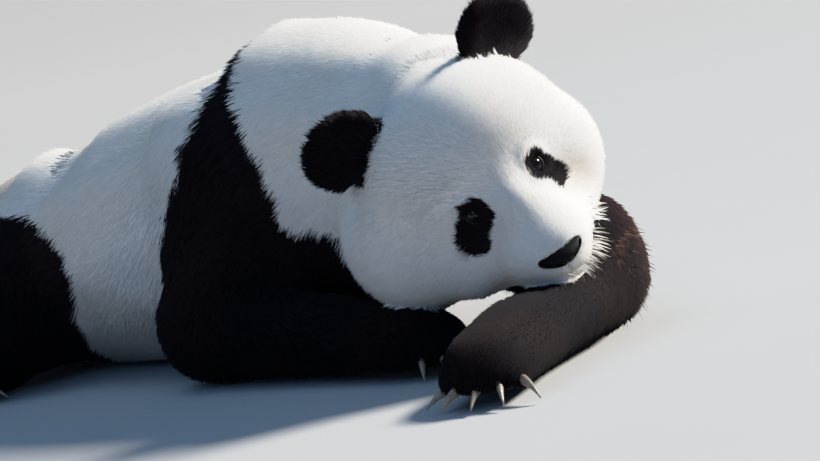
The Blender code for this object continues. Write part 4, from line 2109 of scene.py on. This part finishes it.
# ---- eyes, nose and claws ----
@dataclass
class Eye:
    """An eyeball and its two lids.

    Attributes:
        side: the side that it is on.
        lid: thickness of the lids.
        corner: angle from the gaze to the corners of the opening.
        open_up: angle from the gaze up to the upper lid's edge.
        open_down: angle down to the lower lid's edge.
        outer: the way from the inner corner to the outer one, given for the left eye.
        cornea: how far the cornea bulges, as a share of the radius.
        gap: between the eyeball and the lids.
        back: how far behind the eye's centre the lids end.
    """

    side: Side
    lid: float = 0.0013
    corner: float = 74.0
    open_up: float = 45.0
    open_down: float = 46.0
    outer: Point = (-0.30, 0.50, 0.86)
    cornea: float = 0.05
    gap: float = 0.0004
    back: float = 0.002

    def frame(self) -> Matrix:
        """The eye's own axes.

        Returns:
            A matrix with x across to the outer corner, y up and z along the gaze.
        """
        centre, gaze = EYES.at(self.side)
        across = HEAD.to_3x3() @ self.side.of(self.outer)
        across = (across - gaze * across.dot(gaze)).normalized()
        up = gaze.cross(across) * self.side.value
        return framed(centre, across, up, gaze)

    def sphere(self, radius: float) -> bmesh.types.BMesh:
        """A fine ball, its poles along the gaze.

        Args:
            radius: of the ball.

        Returns:
            The ball.
        """
        bm = bmesh.new()
        bmesh.ops.create_uvsphere(bm, u_segments=48, v_segments=32, radius=radius)
        return bm

    def ball(self) -> bpy.types.Object:
        """Makes the eyeball with its cornea.

        Returns:
            The piece.
        """
        bm = self.sphere(EYES.radius)
        for vert in bm.verts:
            ahead = max(0.0, vert.co.z / EYES.radius)
            vert.co *= 1 + self.cornea * ahead ** 6
        bm.transform(self.frame())
        bmesh.ops.recalc_face_normals(bm, faces=bm.faces)
        eye = object_from(bm, f"eyeball_{self.side.label}")
        centre, gaze = (np.array(vector) for vector in EYES.at(self.side))
        angles = np.degrees(np.arccos(np.clip(unit(points_of(eye.data) - centre) @ gaze, -1, 1)))
        layer = eye.data.attributes.new(FROM_GAZE, "FLOAT", "POINT")
        layer.data.foreach_set("value", (angles / 90).clip(0, 1).astype(np.float32))
        eye.data.materials.append(EyeFinish().material())
        return finished(eye, Slot.EYE, f"eye_{self.side.label}")

    def on_ball(self, across: float, up: float) -> Vector:
        """A point on the lids' sphere, from two angles off the gaze."""
        tilt = Matrix.Rotation(math.radians(-up), 3, "X") @ Matrix.Rotation(math.radians(across), 3, "Y")
        return tilt @ Vector((0, 0, EYES.radius + self.gap))

    def lids(self) -> bpy.types.Object:
        """Makes both lids as one piece, with an almond opening between them.

        Returns:
            The piece.
        """
        whole = bmesh.new()
        for limit in (self.open_up, -self.open_down):
            bm = self.sphere(EYES.radius + self.gap)
            inner, outer = (self.on_ball(across, 0) for across in (-self.corner, self.corner))
            cut = (outer - inner).cross(self.on_ball(0, limit) - inner).normalized()
            sliced(bm, inner, cut if cut.y * limit > 0 else -cut, clear=True)
            sliced(bm, (0, 0, -self.back), (0, 0, 1), clear=True)
            bmesh.ops.recalc_face_normals(bm, faces=bm.faces)
            added(whole, bm)
        whole.transform(self.frame())
        if self.side is Side.RIGHT:
            bmesh.ops.reverse_faces(whole, faces=whole.faces)
        lids = object_from(whole, f"eyelids_{self.side.label}")
        thick = lids.modifiers.new("thickness", "SOLIDIFY")
        thick.thickness = self.lid
        thick.offset = 1
        applied(lids).data.shade_smooth()
        finish = Finish("eyelid_skin", (0.007, 0.006, 0.006), 0.46, 900.0, 0.0002, 0.3, specular=0.3)
        lids.data.materials.append(finish.material())
        return finished(lids, Slot.BLACK_COAT)

    def build(self) -> list[bpy.types.Object]:
        """Makes the eyeball and its lids."""
        return [self.ball(), self.lids()]


@dataclass
class Nose:
    """The leathery nose pad with its two nostrils, given on a ball of radius one.

    Attributes:
        slit: the left nostril from its hole out to the wing, as pairs across and up.
        hole: depth of the hole.
        hole_width: half the width of the hole.
        slit_depth: depth of the slit.
        slit_width: half its width.
        groove: depth of the groove between the nostrils, which fades out above them.
        groove_width: half its width.
        groove_top: how high it reaches.
        bulge: how far its middle stands forward.
        taper: how much lower its wings are than its middle, from 0 to 1.
        full: how much fuller its lower half is in the middle.
    """

    slit: tuple[tuple[float, float], ...] = ((0.40, -0.22), (0.58, -0.20), (0.76, -0.02), (0.86, 0.28))
    hole: float = 0.0060
    hole_width: float = 0.17
    slit_depth: float = 0.0042
    slit_width: float = 0.075
    groove: float = 0.0018
    groove_width: float = 0.06
    groove_top: float = 0.5
    bulge: float = 0.0045
    taper: float = 0.30
    full: float = 0.12

    def pressed(self, across: float, up: float) -> float:
        """How deep the nostrils and the groove between them go at a place.

        Args:
            across: how far left of the middle it is.
            up: how far above it.

        Returns:
            The depth.
        """
        place = np.array([(abs(across), up)])
        pairs = [(np.array(a), np.array(b)) for a, b in zip(self.slit, self.slit[1:])]
        away = min(line_distance(place, a, b)[0] for a, b in pairs)
        from_hole = math.dist((abs(across), up), self.slit[0])
        groove = self.groove * math.exp(-(across / self.groove_width) ** 2)
        return max(self.slit_depth * math.exp(-(away / self.slit_width) ** 2),
                   self.hole * math.exp(-(from_hole / self.hole_width) ** 2),
                   groove * max(0.0, self.groove_top - up))

    def build(self) -> bpy.types.Object:
        """Makes the nose pad.

        Returns:
            The piece.
        """
        bm = bmesh.new()
        bmesh.ops.create_uvsphere(bm, u_segments=96, v_segments=64, radius=1)
        bmesh.ops.rotate(bm, verts=bm.verts, matrix=Matrix.Rotation(math.radians(90), 3, "Y"))
        length, width, height = NOSE.size
        for vert in bm.verts:
            x, y, z = vert.co
            depth = self.pressed(y, z) if x > 0 else 0.0
            taper = 1.0 - self.taper * y * y
            bow = 1 - y * y
            full = 1.0 - NOSE.thin * bow if z > 0 else 1.0 + self.full * (1 - abs(y))
            vert.co = Vector((x * length + self.bulge * bow * max(0.0, x) - depth, y * width,
                              z * height * taper * full - NOSE.droop * bow))
        bm.transform(NOSE.frame())
        bmesh.ops.recalc_face_normals(bm, faces=bm.faces)
        pad = object_from(bm, "nose_leather")
        finish = Finish("nose_leather", (0.0045, 0.004, 0.0045), 0.46, 1300.0, 0.0005, 0.35, specular=0.09)
        pad.data.materials.append(finish.material())
        return finished(pad, Slot.NOSE, "nose_pad")


@dataclass
class Claws:
    """The twenty hooked claws, each rooted in its toe.

    Attributes:
        length: of a claw from its root.
        radius: at the root.
        tip: radius at the tip.
        sunk: how much of it the coat hides.
        height: of the root above the floor.
        drop: from the root to the tip.
        swell: how much fuller its middle is than a cone's.
        flatness: its width as a share of its height.
        rings: how many pieces its length is cut into.
    """

    length: float = 0.042
    radius: float = 0.0068
    tip: float = 0.0012
    sunk: float = 0.012
    height: float = 0.026
    drop: float = 0.019
    swell: float = 1.2
    flatness: float = 0.72
    rings: int = 9

    def claw(self, bm: bmesh.types.BMesh, root: Vector, outward: Vector) -> None:
        """Adds one claw that leaves the root outwards and bends down.

        Args:
            bm: the bmesh.
            root: the place inside the toe that it starts from.
            outward: the toe's direction, level.
        """
        one = bmesh.new()
        lying = Matrix.Translation((self.length / 2, 0, 0)) @ Matrix.Rotation(math.radians(90), 4, "Y")
        bmesh.ops.create_cone(one, cap_ends=True, segments=18, radius1=self.radius, radius2=self.tip,
                              depth=self.length, matrix=lying)
        for ring in range(1, self.rings):
            sliced(one, (self.length * ring / self.rings, 0, 0), (1, 0, 0))
        for vert in one.verts:
            share = vert.co.x / self.length
            full = 1 + self.swell * share * (1 - share)
            vert.co.y *= full * self.flatness
            vert.co.z = vert.co.z * full - self.drop * share ** 2
        up = Vector((0, 0, 1))
        one.transform(framed(root, outward, up.cross(outward), up))
        added(bm, one)

    def foot(self, limb: Limb, node: str, name: str) -> bpy.types.Object:
        """The five claws of one foot.

        Args:
            limb: the foot's stations, on its own side.
            node: the foot's solid, at whose front the claws stand.
            name: the foot's name in the claws' solids.

        Returns:
            The claws as one piece.
        """
        tree = surface_of(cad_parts[node])
        (x, y, _), _ = limb.stations[-1]
        bm = bmesh.new()
        for outward in limb.toe_directions():
            start = Vector((x, y, self.height))
            front = tree.ray_cast(start + outward * 0.25, -outward)[0]
            self.claw(bm, front - outward * self.sunk, outward)
        claws = object_from(bm, f"claws_{name}")
        finish = Finish("claw_horn", (0.30, 0.235, 0.17), 0.34, 240.0, 0.0003, 0.35, coat=0.2)
        claws.data.materials.append(finish.material())
        nodes = [f"claw_{name}_{number}" for number in range(1, 6)]
        return finished(claws, Slot.CLAW, *nodes)

    def build(self) -> list[bpy.types.Object]:
        """Makes the claws of all four feet.

        Returns:
            The pieces.
        """
        made = []
        for side in Side:
            made.append(self.foot(FORELEGS[side].paw, f"paw_{side.label}", f"fore_{side.label}"))
            foot = HIND_FOOT if side is Side.LEFT else HIND_FOOT.mirrored()
            made.append(self.foot(foot, f"hind_foot_{side.label}", f"hind_{side.label}"))
        return made


# ---- the studio ----
@dataclass(frozen=True)
class Softbox:
    """A large soft light.

    Attributes:
        name: the light's name.
        place: where it stands.
        target: the place that it faces.
        size: length of its sides.
        power: in watts.
        colour: of its light.
        mirrored: whether glossy surfaces mirror it.
    """

    name: str
    place: Point
    target: Point
    size: float
    power: float
    colour: Point
    mirrored: bool = False

    def build(self) -> bpy.types.Object:
        """Makes the light.

        Returns:
            The light.
        """
        data = bpy.data.lights.new(self.name, "AREA")
        data.shape = "SQUARE"
        data.size = self.size
        data.energy = self.power
        data.color = self.colour
        light = linked(self.name, data)
        light.location = self.place
        light.rotation_euler = (Vector(self.target) - Vector(self.place)).to_track_quat("-Z", "Y").to_euler()
        light.visible_glossy = self.mirrored
        return light


@dataclass(frozen=True)
class Sun:
    """A broad light from far away, so that it falls evenly on the floor.

    Attributes:
        name: the light's name.
        towards: the way from the panda to it.
        strength: of its light.
        spread: how wide it looks, in degrees, which softens its shadows.
        colour: of its light.
    """

    name: str
    towards: Point
    strength: float
    spread: float
    colour: Point

    def build(self) -> bpy.types.Object:
        """Makes the light.

        Returns:
            The light.
        """
        data = bpy.data.lights.new(self.name, "SUN")
        data.energy = self.strength
        data.angle = math.radians(self.spread)
        data.color = self.colour
        light = linked(self.name, data)
        light.rotation_euler = Vector(self.towards).to_track_quat("Z", "Y").to_euler()
        return light


@dataclass
class Studio:
    """The floor, backdrop, lights and camera.

    Attributes:
        camera_place: where the camera stands.
        azimuth: the way that it looks, from +Y towards -X.
        pitch: how far it looks down.
        roll: how far it is turned about its own axis.
        sensor: width of the camera's sensor, in millimetres.
        lens: its focal length, in millimetres.
        sun: the main light.
        lights: the softer lights that fill its shadows.
        air: colour of the light from all round.
        air_strength: its strength.
        beyond: the colour that shows past the backdrop's ends.
        floor: colour of the floor.
        half: half the length of the floor's sides.
        wall: how much higher the backdrop reaches, straight up, past its curve.
        depth: how far behind the panda the floor starts to curve up.
        sweep: radius of that curve.
        arc: how far it turns up.
        steps: how many strips make it.
        shoulder: pairs of light and tone that ease the brightest whites.
    """

    camera_place: Point = (-2.06, -3.10, 0.515)
    azimuth: float = -38.4
    pitch: float = 6.1
    roll: float = 12.2
    sensor: float = 36.0
    lens: float = 105.36585366
    sun: Sun = Sun("sun_side", (0.755, -0.25, 0.615), 7.6, 13.0, (1.0, 0.955, 0.88))
    lights: tuple[Softbox, ...] = (
        Softbox("sky_front", (-5.0, -5.4, 4.6), (0.0, -0.4, 0.2), 3.4, 66.0, (0.28, 0.54, 1.0), True),
        Softbox("top", (-0.6, 1.5, 6.5), (0.0, 0.0, 0.0), 4.0, 85.0, (0.50, 0.74, 1.0)),
    )
    air: Point = (0.30, 0.55, 1.0)
    air_strength: float = 0.24
    beyond: Point = (0.62, 0.62, 0.62)
    floor: Point = (0.43, 0.43, 0.43)
    half: float = 40.0
    wall: float = 6.0
    depth: float = 26.0
    sweep: float = 60.0
    arc: float = 40.0
    steps: int = 40
    shoulder: tuple[tuple[float, float], ...] = ((0.30, 0.30), (0.80, 0.72), (1.5, 0.90), (3.0, 1.0))

    def stage(self) -> None:
        """Makes the pale floor, which curves up into a backdrop."""
        bm = bmesh.new()
        bmesh.ops.create_grid(bm, x_segments=1, y_segments=1, size=self.half)
        away = [edge for edge in bm.edges if all(vert.co.y > 0 for vert in edge.verts)]
        for vert in bm.verts:
            vert.co.y = min(vert.co.y, self.depth)
        for step in range(1, self.steps + 1):
            angle = math.radians(self.arc * step / self.steps)
            grown = bmesh.ops.extrude_edge_only(bm, edges=away)["geom"]
            verts = [item for item in grown if isinstance(item, bmesh.types.BMVert)]
            away = [item for item in grown if isinstance(item, bmesh.types.BMEdge)
                    and all(vert in verts for vert in item.verts)]
            for vert in verts:
                vert.co.y = self.depth + self.sweep * math.sin(angle)
                vert.co.z = self.sweep * (1 - math.cos(angle))
        grown = bmesh.ops.extrude_edge_only(bm, edges=away)["geom"]
        for item in grown:
            if isinstance(item, bmesh.types.BMVert):
                item.co.z += self.wall
        bm.transform(Matrix.Rotation(math.radians(self.azimuth), 4, "Z"))
        bmesh.ops.recalc_face_normals(bm, faces=bm.faces)
        floor = object_from(bm, "floor")
        floor.data.shade_smooth()
        floor.data.materials.append(Finish("pale_floor", self.floor, 0.8, 3.0, 0.0, 0.01).material())

    def camera(self) -> None:
        """Places the camera."""
        azimuth, pitch, roll = (math.radians(angle) for angle in (self.azimuth, self.pitch, self.roll))
        ahead = Vector((-math.sin(azimuth) * math.cos(pitch), math.cos(azimuth) * math.cos(pitch),
                        -math.sin(pitch)))
        level = Vector((math.cos(azimuth), math.sin(azimuth), 0))
        upright = level.cross(ahead)
        right = level * math.cos(roll) - upright * math.sin(roll)
        up = level * math.sin(roll) + upright * math.cos(roll)
        data = bpy.data.cameras.new("camera")
        data.lens = self.lens
        data.sensor_width = self.sensor
        camera = linked("camera", data)
        camera.matrix_world = framed(Vector(self.camera_place), right, up, -ahead)
        bpy.context.scene.camera = camera

    def build(self) -> None:
        """Makes the whole studio."""
        self.stage()
        self.camera()
        for light in (self.sun, *self.lights):
            light.build()
        self.surround()
        self.tones()

    def surround(self) -> None:
        """Lights the panda from all round, and shows pale grey where the backdrop ends."""
        world = bpy.data.worlds.new("studio_air")
        world.use_nodes = True
        nodes, links = world.node_tree.nodes, world.node_tree.links
        lit, seen = nodes["Background"], nodes.new("ShaderNodeBackground")
        mix = nodes.new("ShaderNodeMixShader")
        for node, colour, strength in ((lit, self.air, self.air_strength), (seen, self.beyond, 1.0)):
            node.inputs["Color"].default_value = (*colour, 1)
            node.inputs["Strength"].default_value = strength
        for item, source in enumerate((nodes.new("ShaderNodeLightPath").outputs["Is Camera Ray"],
                                       lit.outputs[0], seen.outputs[0])):
            links.new(source, mix.inputs[item])
        links.new(mix.outputs[0], nodes["World Output"].inputs["Surface"])
        bpy.context.scene.world = world

    def tones(self) -> None:
        """Leaves the tones as they are, but for the brightest, so that lit fur keeps its form."""
        view = bpy.context.scene.view_settings
        view.view_transform = "Standard"
        view.use_curve_mapping = True
        mapping = view.curve_mapping
        mapping.clip_max_x = self.shoulder[-1][0]
        curve = mapping.curves[3]
        curve.points[1].location = self.shoulder[-1]
        for light, tone in self.shoulder[:-1]:
            curve.points.new(light, tone)
        mapping.update()


def main() -> None:
    """Builds the panda and its studio."""
    logging.basicConfig(level=logging.INFO, format="%(message)s")
    Studio().build()
    skin = Skin()
    skin.build()
    Coat(skin).build()
    Fringe(skin).build()
    for side in Side:
        Eye(side).build()
    Nose().build()
    Claws().build()


if __name__ == "__main__":
    main()
